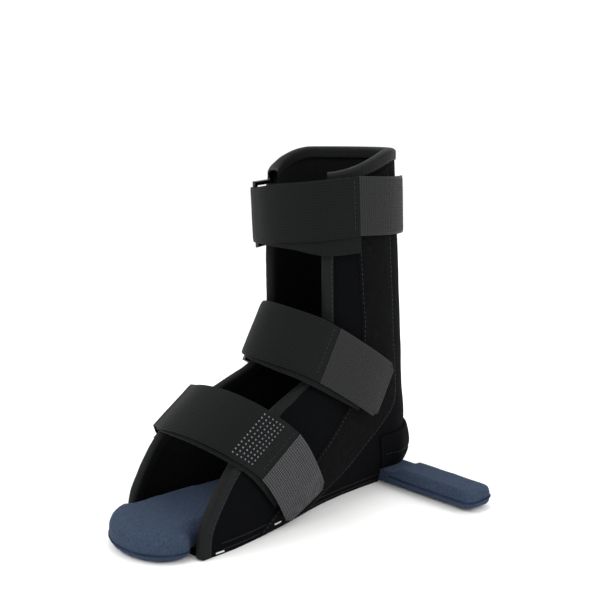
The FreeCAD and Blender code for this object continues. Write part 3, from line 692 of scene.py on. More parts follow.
stripLook = {
    "rows": 140, "columns": 19, "nap": 0.14, "napSize": 2.6,
    "edgeRoll": 0.05, "endRoll": 0.00625, "edgeShare": 0.35,   # the edges lie thinner
    "sunk": 0.1, "stitchIn": 0.055, "stitchSunk": 0.05, "stitchSteps": 260,
    "stitchFrom": 0.008, "stitchTo": 0.985,
}
# girth and height at the front edge, then at the back edge
stripRows = [(-20, 268, 11, 268), (-20, 235, 11, 235), (-20, 200, 11, 200),
             (-20, 170, 11, 170), (-20, 142, 11, 138), (-26, 112, 11.5, 104),
             (-42, 85, 8, 76), (-61, 69, -16, 53), (-86, 49, -40, 38), (-118, 28, -66, 22),
             (-150, 10, -95, 6), (-166, 1, -108, 1)]


def stripAt(u, v):
    # girth and height at a share along and across the strip
    tables = [[(i, row[k]) for i, row in enumerate(stripRows)] for k in range(4)]
    frontG, frontZ, backG, backZ = [through(table, u * (len(stripRows) - 1)) for table in tables]
    girth = frontG + (backG - frontG) * v
    return girth, rimmed(girth, frontZ + (backZ - frontZ) * v)


for side, sideName in sideNames.items():
    u, v = np.broadcast_arrays(np.linspace(0, 1, stripLook["rows"])[:, None],
                               np.linspace(0, 1, stripLook["columns"])[None])
    girth, z = stripAt(u, v)
    edge = np.minimum(np.minimum(v, 1 - v) / stripLook["edgeRoll"],
                      np.minimum(u, 1 - u) / stripLook["endRoll"])
    fullness = stripLook["edgeShare"] + (1 - stripLook["edgeShare"]) * smooth(edge)
    rise = form["loop"][0] + (form["loop"][1] - form["loop"][0]) * fullness
    flat = layerPoint(girth, z, rise, side)
    fuzz = stripLook["nap"] * ripple(flat, stripLook["napSize"], 3) * smooth(edge)
    strip = slab(sideName + "_pile_strip", layerPoint(girth, z, rise + fuzz, side),
                 layerPoint(girth, z, form["loop"][0] - stripLook["sunk"], side),
                 cloth["loop"])
    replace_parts(strip, sideName + "_loop_strip")
    for edgeName, share in (("front", stripLook["stitchIn"]), ("back", 1 - stripLook["stitchIn"])):
        line = np.linspace(stripLook["stitchFrom"], stripLook["stitchTo"],
                           stripLook["stitchSteps"])
        girth, z = stripAt(line, np.full(line.shape, share))
        rise = np.full(line.shape, form["loop"][1] - stripLook["stitchSunk"])
        outward = outwardAt(girth, z) * np.array([side, 1, 1])
        stitchRun(sideName + "_strip_stitch_" + edgeName, layerPoint(girth, z, rise, side),
                  outward)
print("loop strips made")


# binding tape folded over the front edges and the rim

tapeLook = {
    "thick": 0.9, "reach": 6.2, "nose": 2.6, "clear": 0.6, "stitchReach": 4.9,
    "ruck": 0.25, "ruckSize": 9.0,        # slight ruckling along the fold
    "hemFrom": 0.95, "hemTuck": 0.25,     # the outermost edges turn under
    "edgeFoot": 1.5, "edgeTop": 9, "edgeSteps": 190, "rimSteps": 110,
}
# shares round the fold: flat outside, round the nose, flat inside
tapeShares = np.concatenate([np.linspace(-1, -0.5, 7), np.linspace(-0.42, 0.42, 9),
                             np.linspace(0.5, 1, 7)])
stackMiddle = form["panel"][1] / 2
tapeRise = stackMiddle + tapeLook["clear"] + tapeLook["thick"] / 2


def tapeProfile(v, offset):
    rise = tapeRise + offset
    flatPart = np.abs(v) > 0.5
    turn = math.pi * np.clip(v, -0.5, 0.5)
    depth = np.where(flatPart, tapeLook["reach"] * (np.abs(v) - 0.5) * 2,
                     -(tapeLook["nose"] + offset) * np.cos(turn))
    return depth, np.where(flatPart, np.sign(v) * rise, rise * np.sin(turn))


def tapeFrames(girth, z, side):
    # middle of the laminate, outward and inward directions along an edge, lateral side
    lift = sway(girth, z, side)
    middle = onForm(girth, z, stackMiddle + lift)
    outward = outwardAt(girth, z)
    tangent = np.gradient(middle, axis=0)
    tangent /= np.linalg.norm(tangent, axis=1, keepdims=True)
    inward = np.cross(tangent, outward)
    return middle, outward, inward / np.linalg.norm(inward, axis=1, keepdims=True)


def tapeGrids(girth, z, side, flip=1):
    middle, outward, inward = tapeFrames(girth, z, side)
    ruck = tapeLook["ruck"] * ripple(middle, tapeLook["ruckSize"], 4)[:, None]
    v = tapeShares
    grids = []
    for offset in (tapeLook["thick"] / 2, -tapeLook["thick"] / 2):
        depth, rise = tapeProfile(v * flip, offset)
        hem = (np.abs(v) > tapeLook["hemFrom"]) * -tapeLook["hemTuck"] * np.sign(offset)
        height = rise[None, :] + (ruck + hem[None]) * np.sign(v * flip)
        spot = (middle[:, None] + inward[:, None] * depth[None, :, None]
                + outward[:, None] * height[..., None])
        spot[..., 2] = np.maximum(spot[..., 2], 0.0)
        grids.append(spot * np.array([side, 1, 1]))
    return grids


def tapeStitches(name, girth, z, side, below=False):
    # a row of stitches along the outer flat, straight below the edge at the rim
    middle, outward, inward = tapeFrames(girth, z, side)
    reach = (np.array([0, 0, -tapeLook["stitchReach"]]) if below
             else inward * tapeLook["stitchReach"])
    spots = (middle + reach
             + outward * (tapeRise + tapeLook["thick"] / 2)) * np.array([side, 1, 1])
    stitchRun(name, spots, outward * np.array([side, 1, 1]))


rimGirths = np.linspace(float(edgeGirth(np.array(form["rimBack"]))) - tapeLook["nose"],
                        backGirth, tapeLook["rimSteps"])
rimLevels = rimmed(rimGirths, form["rimBack"])
for side, sideName in sideNames.items():
    z = np.linspace(tapeLook["edgeFoot"], form["rimBack"] - tapeLook["edgeTop"],
                    tapeLook["edgeSteps"])
    girth = edgeGirth(z)
    level = rimmed(girth, z)
    tape = slab(sideName + "_edge_tape", *tapeGrids(girth, level, side), cloth["tape"])
    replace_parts(tape, sideName + "_binding")
    tapeStitches(sideName + "_edge_stitch", girth, level, side)
rims = {side: tapeGrids(rimGirths, rimLevels, side, -1) for side in sideNames}
rimTape = slab("rim_tape", *[np.concatenate([rims[lateral][k], rims[medial][k][-2::-1]])
                             for k in (0, 1)], cloth["tape"])
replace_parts(rimTape, "rim_binding")
for side, sideName in sideNames.items():
    tapeStitches(sideName + "_rim_stitch", rimGirths, rimLevels, side, below=True)
print("bindings made")


# heel cup: gathered velvet with a seam across it

cupLook = {
    "frontGirth": -14.0, "low": 6.3, "high": 8.3, "top": 46.0, "clear": 0.1,
    "rows": 34, "columns": 181, "heelFade": 4,
    "puff": 2.4,
    "gather": 0.45, "gatherPitch": 15.0,   # depth of the gathers and mm between them
    "lean": 2.4, "wander": 0.5, "wanderSize": 17.0, "lift": 0.4, "flatten": 0.7,
    "seamAt": 25.0, "seamDip": 1.0, "seamWidth": 1.3, "seamWave": 1.2, "seamWaveSize": 21,
    "feather": 0.3, "thin": 1.4,           # the cup thins out towards its front edges
    "stitchRow": 2, "stitchMargin": 2, "stitchAim": 5,
}


def cupGrids():
    look = cupLook
    z = np.linspace(tunnelTop + look["clear"], look["top"], look["rows"])
    share = (z - z[0]) / (z[-1] - z[0])
    grids = []
    for offset in (look["high"], look["low"]):
        columns = []
        for value in np.linspace(-1, 1, look["columns"]):
            side = lateral if value >= 0 else medial
            girth = np.full(z.shape, backGirth + (look["frontGirth"] - backGirth) * abs(value))
            run = value * (backGirth - look["frontGirth"])
            turns = run / look["gatherPitch"] + look["wander"] * np.sin(run / look["wanderSize"])
            fold = (np.sin(2 * math.pi * turns + share * look["lean"])
                    * np.sin(math.pi * share) ** look["flatten"])
            swell = look["puff"] * np.sin(math.pi * share)
            seamLine = look["seamWave"] * math.sin(run / look["seamWaveSize"])
            seam = look["seamDip"] * np.exp(-((z - look["seamAt"] - seamLine)
                                              / look["seamWidth"]) ** 2)
            lift = sway(girth, z, side) * smooth(abs(value) * look["heelFade"])
            inside = smooth((1 - abs(value)) / look["feather"])
            raised = (swell + look["gather"] * (fold + look["lift"]) - seam) * inside
            raised -= look["thin"] * (1 - inside)
            raised = np.maximum(raised, -look["thin"]) * (offset == look["high"])
            columns.append(onForm(girth, z, offset + lift + raised, side))
        grids.append(np.stack(columns, 1))
    return grids


cupOuter, cupInner = cupGrids()
cup = slab("heel_gather", cupOuter, cupInner, cloth["velvet"])
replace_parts(cup, "heel_cup")
seamShare = (cupLook["seamAt"] - tunnelTop) / (cupLook["top"] - tunnelTop)
seamRow = int(round(seamShare * (cupLook["rows"] - 1)))
line = cupOuter[seamRow + cupLook["stitchRow"],
                cupLook["stitchMargin"]:-cupLook["stitchMargin"]]
outward = line - np.array([0, cupLook["stitchAim"], 0])
outward[:, 2] = 0
outward /= np.linalg.norm(outward, axis=1, keepdims=True)
stitchRun("heel_stitch", line, outward)
print("heel cup made")


# padded T board: one fleece cover blown up a little, then seamed

padLook = {
    "toeRows": [(-241.6, 0.0), (-239.7, 14.3), (-237.0, 21.5), (-233.0, 28.6), (-227.4, 35.0),
                (-220.6, 40.1), (-213.0, 43.4), (-205.5, 44.8)],
    "start": 1.3,             # the cover starts this much smaller than its finished size
    "round": 5.5, "barRound": 3.6, "top": 22.0,
    "toeHalf": 44.8, "toeBack": -205.5, "toeLength": 36, "toeSpacing": 3.0,
    "neckFront": -208, "neckLow": 2.1, "neckInset": 2.2, "neckRows": 60,
    "heelTip": 34.0, "heelLength": 20.4, "heelReach": 19.6, "heelHalf": 20.14,
    "barHalf": 129.5, "barFront": -3.4, "barBack": 31.8, "barCorner": 6.5, "barTop": 19.6,
    "voxel": 4.0, "pressure": 4.0, "cap": 3.0, "frames": 20, "evenBy": 0.5, "evenTimes": 3,
    "rumple": 0.55, "rumpleSize": 22.0, "pill": 0.16, "pillSize": 4.0,
    "seamHeight": 7.0, "barSeamHeight": 9.0, "seamRadius": 0.8, "seamSpacing": 2.0,
    "seamStand": 0.15, "barSeamStart": 44.0, "barSeamCorner": 60,
}
# where the pad is held: inside its sleeve, under the heel and on the floor
holdLook = {
    "sleeveFront": -199, "sleeveClear": 0.6, "sleeveFloor": 0.2, "barClear": 4,
    "barEnd": 130.5, "toeFrom": -30, "toeHalf": 45.8, "floor": 0.05, "ceiling": 23.0,
    "heelClear": 0.5, "swell": 5.4, "swellFrom": 45, "swellOver": 14, "barFrom": 24.5,
}


roundSteps = 5


def loft(outline, low, high, edgeRound):
    # closed solid from a flat outline, with its top and bottom edges rounded over
    ahead, behind = np.roll(outline, -1, axis=0), np.roll(outline, 1, axis=0)
    tangent = ahead - behind
    tangent /= np.linalg.norm(tangent, axis=1, keepdims=True)
    inward = np.stack([-tangent[:, 1], tangent[:, 0]], -1)
    turns = np.linspace(0, math.pi / 2, roundSteps)
    levels = ([(low + edgeRound * (1 - math.sin(a)), edgeRound * (1 - math.cos(a)))
               for a in turns[::-1]]
              + [(high - edgeRound * (1 - math.sin(a)), edgeRound * (1 - math.cos(a)))
                 for a in turns])
    vertices, faces, count = [], [], len(outline)
    for z, inset in levels:
        vertices += [(x, y, z) for x, y in outline + inward * inset]
    for k in range(len(levels) - 1):
        faces += [(k * count + i, k * count + (i + 1) % count,
                   (k + 1) * count + (i + 1) % count, (k + 1) * count + i) for i in range(count)]
    faces += [tuple(reversed(range(count))),
              tuple((len(levels) - 1) * count + i for i in range(count))]
    return vertices, faces


def padOutlines():
    # flat outlines of the toe end, the neck with its heel, and the crossbar
    inset, toeBack = padLook["start"], padLook["toeBack"]
    half = np.array([(x, y) for y, x in padLook["toeRows"]])
    toe = curveThrough(np.concatenate([half[::-1] * [-1, 1], half[1:]]), padLook["toeSpacing"])
    shrink = np.array([1 - inset / padLook["toeHalf"], 1.0])
    toe = ((toe - [0, toeBack]) * shrink * [1, 1 - inset / padLook["toeLength"]]
           + [0, toeBack - inset])
    heelStart = padLook["heelTip"] - padLook["heelLength"]
    ys = np.linspace(padLook["neckFront"], heelStart, padLook["neckRows"])
    edge = through(form["soleEdge"], ys) - padLook["neckInset"] - inset
    heel = [(padLook["heelHalf"] * math.cos(a),
             heelStart + (padLook["heelReach"] - inset) * math.sin(a))
            for a in np.linspace(0, math.pi, 18)[1:-1]]
    neck = np.array(list(zip(edge, ys)) + heel + list(zip(-edge[::-1], ys[::-1])))
    x, r = padLook["barHalf"] - inset, padLook["barCorner"]
    y0, y1 = padLook["barFront"] + inset, padLook["barBack"] - inset
    bar = [(cx + r * math.cos(a), cy + r * math.sin(a))
           for cx, cy, start in ((x - r, y0 + r, -90), (x - r, y1 - r, 0),
                                 (-x + r, y1 - r, 90), (-x + r, y0 + r, 180))
           for a in np.radians(np.linspace(start, start + 90, 7))]
    return toe, neck, np.array(bar)


def runCloth(piece, look):
    # the cover swells under a light air pressure, then is held near its start
    start = np.array([v.co for v in piece.data.vertices])
    puff = piece.modifiers.new("puff", "CLOTH")
    puff.settings.use_pressure = True
    puff.settings.uniform_pressure_force = look["pressure"]
    puff.settings.effector_weights.gravity = 0
    puff.point_cache.frame_end = look["frames"]
    for frame in range(1, look["frames"] + 1):
        bpy.context.scene.frame_set(frame)
    shaped = piece.evaluated_get(bpy.context.evaluated_depsgraph_get()).to_mesh()
    moved = np.array([v.co for v in shaped.vertices]) - start
    piece.modifiers.remove(puff)
    bpy.context.scene.frame_set(1)
    length = np.linalg.norm(moved, axis=1, keepdims=True)
    moved *= np.minimum(1, look["cap"] * mm / np.maximum(length, 1e-9))
    piece.data.vertices.foreach_set("co", (start + moved).ravel())
    piece.data.update()


def applied(piece):
    mesh = bpy.data.meshes.new_from_object(
        piece.evaluated_get(bpy.context.evaluated_depsgraph_get()))
    piece.modifiers.clear()
    piece.data = mesh


def holdPad(points):
    look = holdLook
    x, y, z = points.T
    inSleeve = (y > look["sleeveFront"]) & (y < padLook["barFront"] - look["barClear"])
    room = through(form["soleEdge"], y) - look["sleeveClear"]
    x = np.where(inSleeve, np.clip(x, -room, room), np.clip(x, -look["barEnd"], look["barEnd"]))
    x = np.where(y < look["toeFrom"], np.clip(x, -look["toeHalf"], look["toeHalf"]), x)
    floor = np.where(inSleeve, padLook["neckLow"] - look["sleeveFloor"], look["floor"])
    # the bar is pressed flat under the heel and swells beyond it
    beyond = smooth((np.abs(x) - look["swellFrom"]) / look["swellOver"])
    barTop = tunnelTop - look["heelClear"] + look["swell"] * beyond
    inBar = (y > look["toeFrom"]) & (np.abs(x) > look["barFrom"])
    return np.stack([x, y, np.clip(z, floor, np.where(inBar, barTop, look["ceiling"]))], -1)


def makePad():
    vertices, faces = [], []
    toe, neck, bar = padOutlines()
    inset = padLook["start"]
    full, top = padLook["round"], padLook["top"] - inset
    for outline, low, high, edge in (
            (toe, inset * 0.5, top, full),
            (neck, padLook["neckLow"] + inset * 0.5, top, full),
            (bar, inset * 0.5, padLook["barTop"] - inset, padLook["barRound"])):
        more, moreFaces = loft(outline, low, high, edge)
        faces += [tuple(i + len(vertices) for i in face) for face in moreFaces]
        vertices += more
    mesh = bpy.data.meshes.new("fleece_pad")
    mesh.from_pydata([tuple(c * mm for c in v) for v in vertices], [], faces)
    faceOutward(mesh)
    pad = linkObject("fleece_pad", mesh, None)
    remesh = pad.modifiers.new("remesh", "REMESH")
    remesh.mode = "VOXEL"
    remesh.voxel_size = padLook["voxel"] * mm
    applied(pad)
    runCloth(pad, padLook)
    even = pad.modifiers.new("even", "SMOOTH")
    even.factor, even.iterations = padLook["evenBy"], padLook["evenTimes"]
    finer = pad.modifiers.new("finer", "SUBSURF")
    finer.levels = finer.render_levels = 1
    applied(pad)
    mesh = pad.data
    points = np.array([v.co for v in mesh.vertices]) / mm
    normals = np.array([v.normal for v in mesh.vertices])
    bump = (padLook["rumple"] * ripple(points, padLook["rumpleSize"], 5)
            + padLook["pill"] * ripple(points, padLook["pillSize"], 6))
    points = holdPad(points + normals * bump[:, None])
    mesh.vertices.foreach_set("co", (points * mm).ravel())
    mesh.update()
    mesh.materials.clear()
    mesh.materials.append(cloth["fleece"])
    mesh.polygons.foreach_set("use_smooth", [True] * len(mesh.polygons))
    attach(pad, "root")
    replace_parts(pad, "insert_cover_top", "insert_cover_bottom", "insert_foam_top",
                "insert_foam_bottom")
    return pad


def seamRound(pad, name, outline, height):
    # welt that follows the pad's own side at one height
    tree = BVHTree.FromObject(pad, bpy.context.evaluated_depsgraph_get())
    ahead, behind = np.roll(outline, -1, axis=0), np.roll(outline, 1, axis=0)
    tangent = ahead - behind
    tangent[0], tangent[-1] = outline[1] - outline[0], outline[-1] - outline[-2]
    tangent /= np.linalg.norm(tangent, axis=1, keepdims=True)
    outwards = np.stack([tangent[:, 1], -tangent[:, 0]], -1)
    away = 15                            # mm outside the outline where each ray starts
    spots = []
    for (x, y), (nx, ny) in zip(outline, outwards):
        start = Vector(((x + nx * away) * mm, (y + ny * away) * mm, height * mm))
        hit = tree.ray_cast(start, Vector((-nx, -ny, 0)), 2 * away * mm)[0]
        if hit:
            spots.append(np.array(hit) / mm + np.array([nx, ny, 0]) * padLook["seamStand"])
    tube(name, evenly(spots, padLook["seamSpacing"]), padLook["seamRadius"], cloth["welt"])


pad = makePad()
toeOutline, _, barOutline = padOutlines()
seamRound(pad, "toe_welt", toeOutline, padLook["seamHeight"])
for side, sideName in sideNames.items():
    end = barOutline[(barOutline[:, 0] * side) > padLook["barSeamCorner"]]
    startX = side * padLook["barSeamStart"]
    line = np.concatenate([[[startX, end[0, 1]]], end, [[startX, end[-1, 1]]]])
    seamRound(pad, sideName + "_bar_welt", evenly(line, padLook["seamSpacing"]),
              padLook["barSeamHeight"])
print("padded board made")


# straps: elastic through a ring, folded back to a hook tab

straps = {
    "upper": {
        "ruling": (0, 0.05, -1), "origin": (0, -60, 231),
        "ring": (-54, 3, 4.8), "ringRear": (-57.5, -14.6, 4.8),
        "inner": [(-34.5, 17.2, 2.9), (-18, 24, 1.6), (0, 26.6, 1.4), (18, 23.6, 2.8),
                  (34, 17.6, 5.6), (41.2, 9.2, 6.6), (46.2, 0.6, 6.4), (50.3, -7.6, 6),
                  (51.3, -10.4, 6)],
        "outer": [(-36, 19.4, 2.6), (-19, 26.4, 0.2), (0, 29, -2.5), (19, 26, -4.3),
                  (35.4, 19.4, -5.6), (43, 10.6, -6.4), (48.2, 1.4, -7), (52.2, -7, -7.4)],
        "tab": [(52.6, -8, -7.4), (55.2, -17, -6.8), (56.4, -26, -6), (56.4, -35, -5.2),
                (54.7, -45, -4.3), (51.2, -54.5, -3.5), (46.2, -63, -2.8),
                (40.6, -70.3, -2.2), (34.5, -76.6, -1.7)],
        "webbingInner": [(-54.4, -50, 4.8), (-54.6, -38, 4.8), (-54.6, -26, 4.8),
                         (-54.6, -17, 4.8)],
        "webbingOuter": [(-60.3, -17, 4.8), (-58.2, -27, 4.8), (-56.6, -38, 4.8),
                         (-56.1, -50, 4.8)],
        "tabSkew": 0.0, "tabFinish": "hook",
    },
    "middle": {
        "ruling": (0, -0.5, -0.866), "origin": (0, -115.1, 145.6),
        "ring": (-49.5, -49, -9.5), "ringRear": (-54, -66.5, -9.5),
        "inner": [(-42, -40, -9), (-35.2, -34, -8.1), (-25, -25.6, -6.2),
                  (-11.9, -14.5, -3.4), (2.3, -6.6, -0.8), (17.4, -5.8, 0.9),
                  (29.6, -13.2, 1.5), (38, -26.6, 1.1), (42.9, -43, 1.4), (47.1, -58, 2),
                  (50.1, -70, 2.6), (52.3, -79, 3), (53.1, -88, 3.2)],
        "outer": [(-43.8, -38, -9), (-36.8, -32, -8.3), (-26.4, -23.6, -6.8), (-13, -12.5, -4.6),
                  (2, -4.2, -2.8), (18, -3.4, -2), (31, -11.2, -2.3), (40, -25.2, -3.4),
                  (44.6, -41.5, -3.2)],
        "tab": [(45.2, -44.2, -3.1), (48.6, -56, -2.2), (51.9, -68, -1), (54.3, -79, 0),
                (55.5, -89, 1), (55.6, -99, 1.9), (55, -108.5, 2.7)],
        "webbingInner": [(-55.6, -103, -9.5), (-55.6, -96, -9.5), (-55.1, -87, -9.5),
                         (-53.8, -78, -9.5), (-51.9, -69.5, -9.5)],
        "webbingOuter": [(-57.1, -69.5, -9.5), (-57.3, -78, -9.5), (-57.3, -87, -9.5),
                         (-57.4, -96, -9.5), (-57.4, -103, -9.5)],
        "tabSkew": 0.0, "tabFinish": "hook",
    },
    "lower": {
        "ruling": (0, -0.82, -0.572), "origin": (0, -85, -41.5),
        "ring": (-55.5, 128, -14.5), "ringRear": (-55.2, 110, -14.5),
        "inner": [(-47.8, 139.2, -13.3), (-38, 145.2, -11), (-22.8, 154.3, -6),
                  (-5.4, 163.1, -1.8), (15.4, 165.9, -0.8), (32.6, 161.6, -2.4),
                  (44, 151.8, -5.4), (49, 139, -9.4), (50.1, 127, -13), (50, 114, -15.4),
                  (49.4, 102, -16.6), (48.2, 90, -17.4), (46.9, 79, -18)],
        "outer": [(-49.6, 142.2, -13.3), (-39.2, 147.6, -11), (-24, 156.5, -6.2),
                  (-6, 165.5, -2.6), (16, 168.3, -2.8), (34, 163.8, -5), (46, 153.4, -8.5),
                  (51.2, 140, -12.6), (52.3, 127, -16.5), (52.5, 114.7, -19.5)],
        "tab": [(52.7, 112.2, -19.8), (52.9, 100, -20.2), (52.4, 88, -19.9), (51, 76, -19.3),
                (49, 64.5, -18.5), (46.8, 54.5, -17.6)],
        "webbingInner": [(-47.8, 71.2, -14.5), (-48.2, 79.2, -14.5), (-48.9, 89.2, -14.5),
                         (-50.2, 99.2, -14.5), (-52.2, 108, -14.5)],
        "webbingOuter": [(-58, 108, -14.5), (-54.6, 99.2, -14.5), (-51.4, 89.2, -14.5),
                         (-49.9, 79.2, -14.5), (-49.4, 71.2, -14.5)],
        # the lower tab takes the lighter hook finish, a painted highlight
        "tabSkew": -5.0, "tabFinish": "hookPaintedHighlight", "dotStart": 147.0,
    },
}
strapLook = {
    "width": 45.0, "thick": 1.5, "tabThick": 1.8, "webbingThick": 1.2, "webbingWidth": 42.0,
    "wire": 4.0, "loopGap": 0.3, "foldRadius": 3.3, "foldLead": 4.5,
    "foldSteps": 41, "leadSteps": 9, "spacing": 0.55, "webbingSpacing": 1.0, "columns": 41,
    "ribPitch": 2.4, "rib": 0.07, "hookPitch": 2.0, "hookRib": 0.13,
    "webbingPitch": 1.8, "webbingRib": 0.05, "cordShare": 0.6, "cordSpread": 1.3,
    "sag": 0.25, "sagSize": 26.0,         # slow unevenness of a worn band
    "selvage": 0.06, "selvageDrop": 0.22, "tabCorner": 5.0, "trimSteps": 14,
    "seamBlend": 7.0, "seamReach": 0.9, "stitchBack": 6, "stitchHalf": 0.46, "stitchSteps": 40,
    "dotRows": 12, "dotColumns": 6, "dotPitch": 3.8, "dotSpread": 3.3, "dotRadius": 0.7,
    "dotStand": 0.02,
}


def toSpace(strap, flat, along):
    # a band's own (across, forward, drift) and place along its ruling, in the frame
    ruling = np.array(strap["ruling"], float)
    ruling /= np.linalg.norm(ruling)
    across = np.array([1.0, 0, 0])
    forward = np.cross(ruling, across)
    return (np.array(strap["origin"]) + across * flat[..., :1] + forward * flat[..., 1:2]
            + ruling * (flat[..., 2] + along)[..., None])


def pathFrame(path):
    # level directions along a band's path and to its left
    tangent = np.gradient(path, axis=0) * [1, 1, 0]
    tangent /= np.linalg.norm(tangent, axis=1, keepdims=True)
    return tangent, np.stack([-tangent[:, 1], tangent[:, 0], tangent[:, 2]], -1)


def bandSurface(strap, path, v, offset, width, skew=0.0):
    # points of a band: path steps by shares across, with an offset to the path's left
    tangent, normal = pathFrame(path)
    share = np.linspace(0, 1, len(path))
    # the skew comes in over the last third
    lean = skew * 2 * smooth(share * 3 - 2)[:, None] * v[None]
    flat = (path[:, None] + normal[:, None] * np.broadcast_to(offset, lean.shape)[..., None]
            + tangent[:, None] * lean[..., None])
    return toSpace(strap, flat, np.broadcast_to(v[None] * width, lean.shape))


def makeBand(name, strap, path, thick, width, material, body, pitch, rib, skew=0.0, corner=0.0):
    path = evenly(path, strapLook["spacing"])
    v = np.linspace(-0.5, 0.5, strapLook["columns"])
    reach = np.linspace(0, strapLook["spacing"] * (len(path) - 1), len(path))[:, None]
    look = strapLook
    edge = smooth((0.5 - np.abs(v)) / look["selvage"])[None]
    ridge = rib * np.sin(2 * math.pi * reach / pitch) * edge
    cords = (rib * look["cordShare"]
             * np.cos(2 * math.pi * v * width / (pitch * look["cordSpread"]))[None] * edge)
    half = thick / 2 - look["selvageDrop"] * (1 - edge)
    flat = np.stack(np.broadcast_arrays(reach, v[None] * width, 9.0), -1)
    sag = look["sag"] * ripple(flat, look["sagSize"], 8)
    outer = bandSurface(strap, path, v, half + ridge + cords + sag, width, skew)
    inner = bandSurface(strap, path, v, -half + sag, width, skew)
    if corner:
        # the cut end is trimmed at its corners
        for grid in (outer, inner):
            for j, share in enumerate(v):
                trim = corner * smooth((abs(share) * width - width / 2 + corner) / corner)
                last, steps = len(path) - 1, look["trimSteps"]
                back = int(round(trim / look["spacing"]))
                if back:
                    zone = np.linspace(last - steps - back, last - back, steps + 1)
                    column = np.stack([np.interp(zone, np.arange(len(path)), grid[:, j, k])
                                       for k in range(3)], -1)
                    grid[last - steps:, j] = column
    return slab(name, outer, inner, material, body)


def foldPath(centre, start, end, radius):
    angles = np.linspace(start, end, strapLook["foldSteps"])
    return np.array(centre) + radius * np.stack([np.cos(angles), np.sin(angles), 0 * angles], -1)


def bandStitch(name, strap, path, body):
    # a row of stitches straight across a band, near its end
    look = strapLook
    step = len(path) - look["stitchBack"]
    normal = pathFrame(path)[1][step]
    spot = path[step] + normal * (look["thick"] / 2)
    v = np.linspace(-look["stitchHalf"], look["stitchHalf"], look["stitchSteps"])
    points = toSpace(strap, np.tile(spot, (len(v), 1)), v * look["width"])
    outward = toSpace(strap, spot + normal, np.array(0.0)) - toSpace(strap, spot, np.array(0.0))
    stitchRun(name, points, np.tile(outward / np.linalg.norm(outward), (len(v), 1)), body)


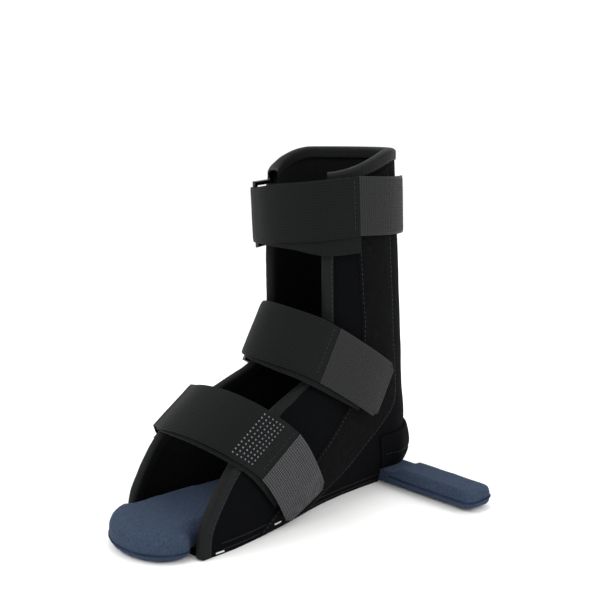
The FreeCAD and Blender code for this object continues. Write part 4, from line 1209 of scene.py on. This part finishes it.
def makeStrap(name, strap):
    # inner run, fold round the ring, outer run, hook tab, then the webbing behind the ring
    look = strapLook
    front, rear = np.array(strap["ring"], float), np.array(strap["ringRear"], float)
    inner = curveThrough(strap["inner"], look["spacing"])
    outer = curveThrough(strap["outer"], look["spacing"])
    tab = curveThrough(strap["tab"], look["spacing"])
    leave = np.array(strap["outer"][0]) - front
    heading = math.atan2(leave[1], leave[0])
    fold = foldPath(front, heading + 1.5 * math.pi, heading + math.pi / 2, look["foldRadius"])
    ahead = np.array([math.cos(heading), math.sin(heading), 0])
    lead = np.linspace(fold[0] + ahead * look["foldLead"], fold[0], look["leadSteps"])[:-1]
    band = dict(width=look["width"], pitch=look["ribPitch"], rib=look["rib"])
    inside = makeBand(name + "_under_band", strap,
                      np.concatenate([[fold[0] + ahead * look["foldLead"]], inner]),
                      look["thick"], material=cloth["elastic"], body="root", **band)
    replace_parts(inside, name + "_inner_run")
    turned = makeBand(name + "_fold", strap, np.concatenate([lead, fold]), look["thick"],
                      material=cloth["elastic"], body=None, **band)
    low, high = toSpace(strap, np.array([fold[0], fold[-1]]), np.zeros(2)) * mm
    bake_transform(turned)
    reach = outer[-1] + (tab[0] - outer[-1]) * look["seamReach"]
    outside = makeBand(name + "_over_band", strap, np.concatenate([fold[-1:], outer, [reach]]),
                       look["thick"], material=cloth["elastic"], body=name + "_strap", **band)
    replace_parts(outside, name + "_outer_run")
    hooks = makeBand(name + "_grip_tab", strap, tab, look["tabThick"], look["width"],
                     cloth[strap["tabFinish"]], None, look["hookPitch"], look["hookRib"],
                     strap["tabSkew"], look["tabCorner"])
    seamStep = int(look["seamBlend"] / look["spacing"])
    start, end = toSpace(strap, np.array([tab[0], tab[seamStep]]), np.zeros(2)) * mm
    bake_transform(hooks)
    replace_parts(hooks, name + "_hook_tab")
    bandStitch(name + "_tab_stitch", strap, outer, name + "_strap")
    loopRadius = look["wire"] / 2 + look["loopGap"] + look["webbingThick"] / 2
    legs = np.concatenate([curveThrough(strap["webbingInner"], look["webbingSpacing"]),
                           foldPath(rear, 0, math.pi, loopRadius),
                           curveThrough(strap["webbingOuter"], look["webbingSpacing"])])
    webbing = makeBand(name + "_ring_strap", strap, legs, look["webbingThick"],
                       look["webbingWidth"], cloth["tape"], "root", look["webbingPitch"],
                       look["webbingRib"])
    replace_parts(webbing, name + "_ring_webbing")


for name, strap in straps.items():
    makeStrap(name, strap)
    print("strap made:", name)


def makeDots(strap, path, first):
    # grid of raised dots woven into the band
    look = strapLook
    normals = pathFrame(path)[1]
    ball = bmesh.new()
    for i in range(look["dotColumns"]):
        step = first + int(round(i * look["dotPitch"] / look["spacing"]))
        normal = normals[step]
        for j in range(look["dotRows"]):
            along = (j - (look["dotRows"] - 1) / 2) * look["dotSpread"]
            flat = path[step] + normal * (look["thick"] / 2 + look["dotStand"])
            spot = toSpace(strap, flat, np.array(along))
            dot = bmesh.ops.create_uvsphere(ball, u_segments=10, v_segments=6,
                                            radius=look["dotRadius"] * mm)
            bmesh.ops.translate(ball, verts=dot["verts"], vec=Vector(spot) * mm)
    mesh = bpy.data.meshes.new("grip_dots")
    ball.to_mesh(mesh)
    ball.free()
    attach(linkObject("grip_dots", mesh, cloth["dots"]), "lower_strap")


# the dots start at the lateral point of the run that lies this far forward
lowerOuter = curveThrough(straps["lower"]["outer"], strapLook["spacing"])
onMedial = lowerOuter[:, 0] < 0
dotStart = int(np.argmin(np.where(onMedial, np.inf,
                                  np.abs(lowerOuter[:, 1] - straps["lower"]["dotStart"]))))
makeDots(straps["lower"], lowerOuter, dotStart)


# hard pieces keep their frame shapes

hardEdge = 50                            # degrees; sharper folds than this stay crisp
hardFinishes = {
    "ring": [name + "_ring" for name in straps],
    "tack": [side + "_hem_tacks" for side in sideNames.values()],
    "stay": [side + "_stay" for side in sideNames.values()],
    "board": ["foot_board", "cross_bar_board"],
    "screw": ["board_screws"],
}
for finishName, names in hardFinishes.items():
    for name in names:
        mesh = nodes[name].data
        mesh.materials.clear()
        mesh.materials.append(cloth[finishName])
        mesh.polygons.foreach_set("use_smooth", [True] * len(mesh.polygons))
        sharpen(nodes[name], hardEdge)
print("hard pieces finished")
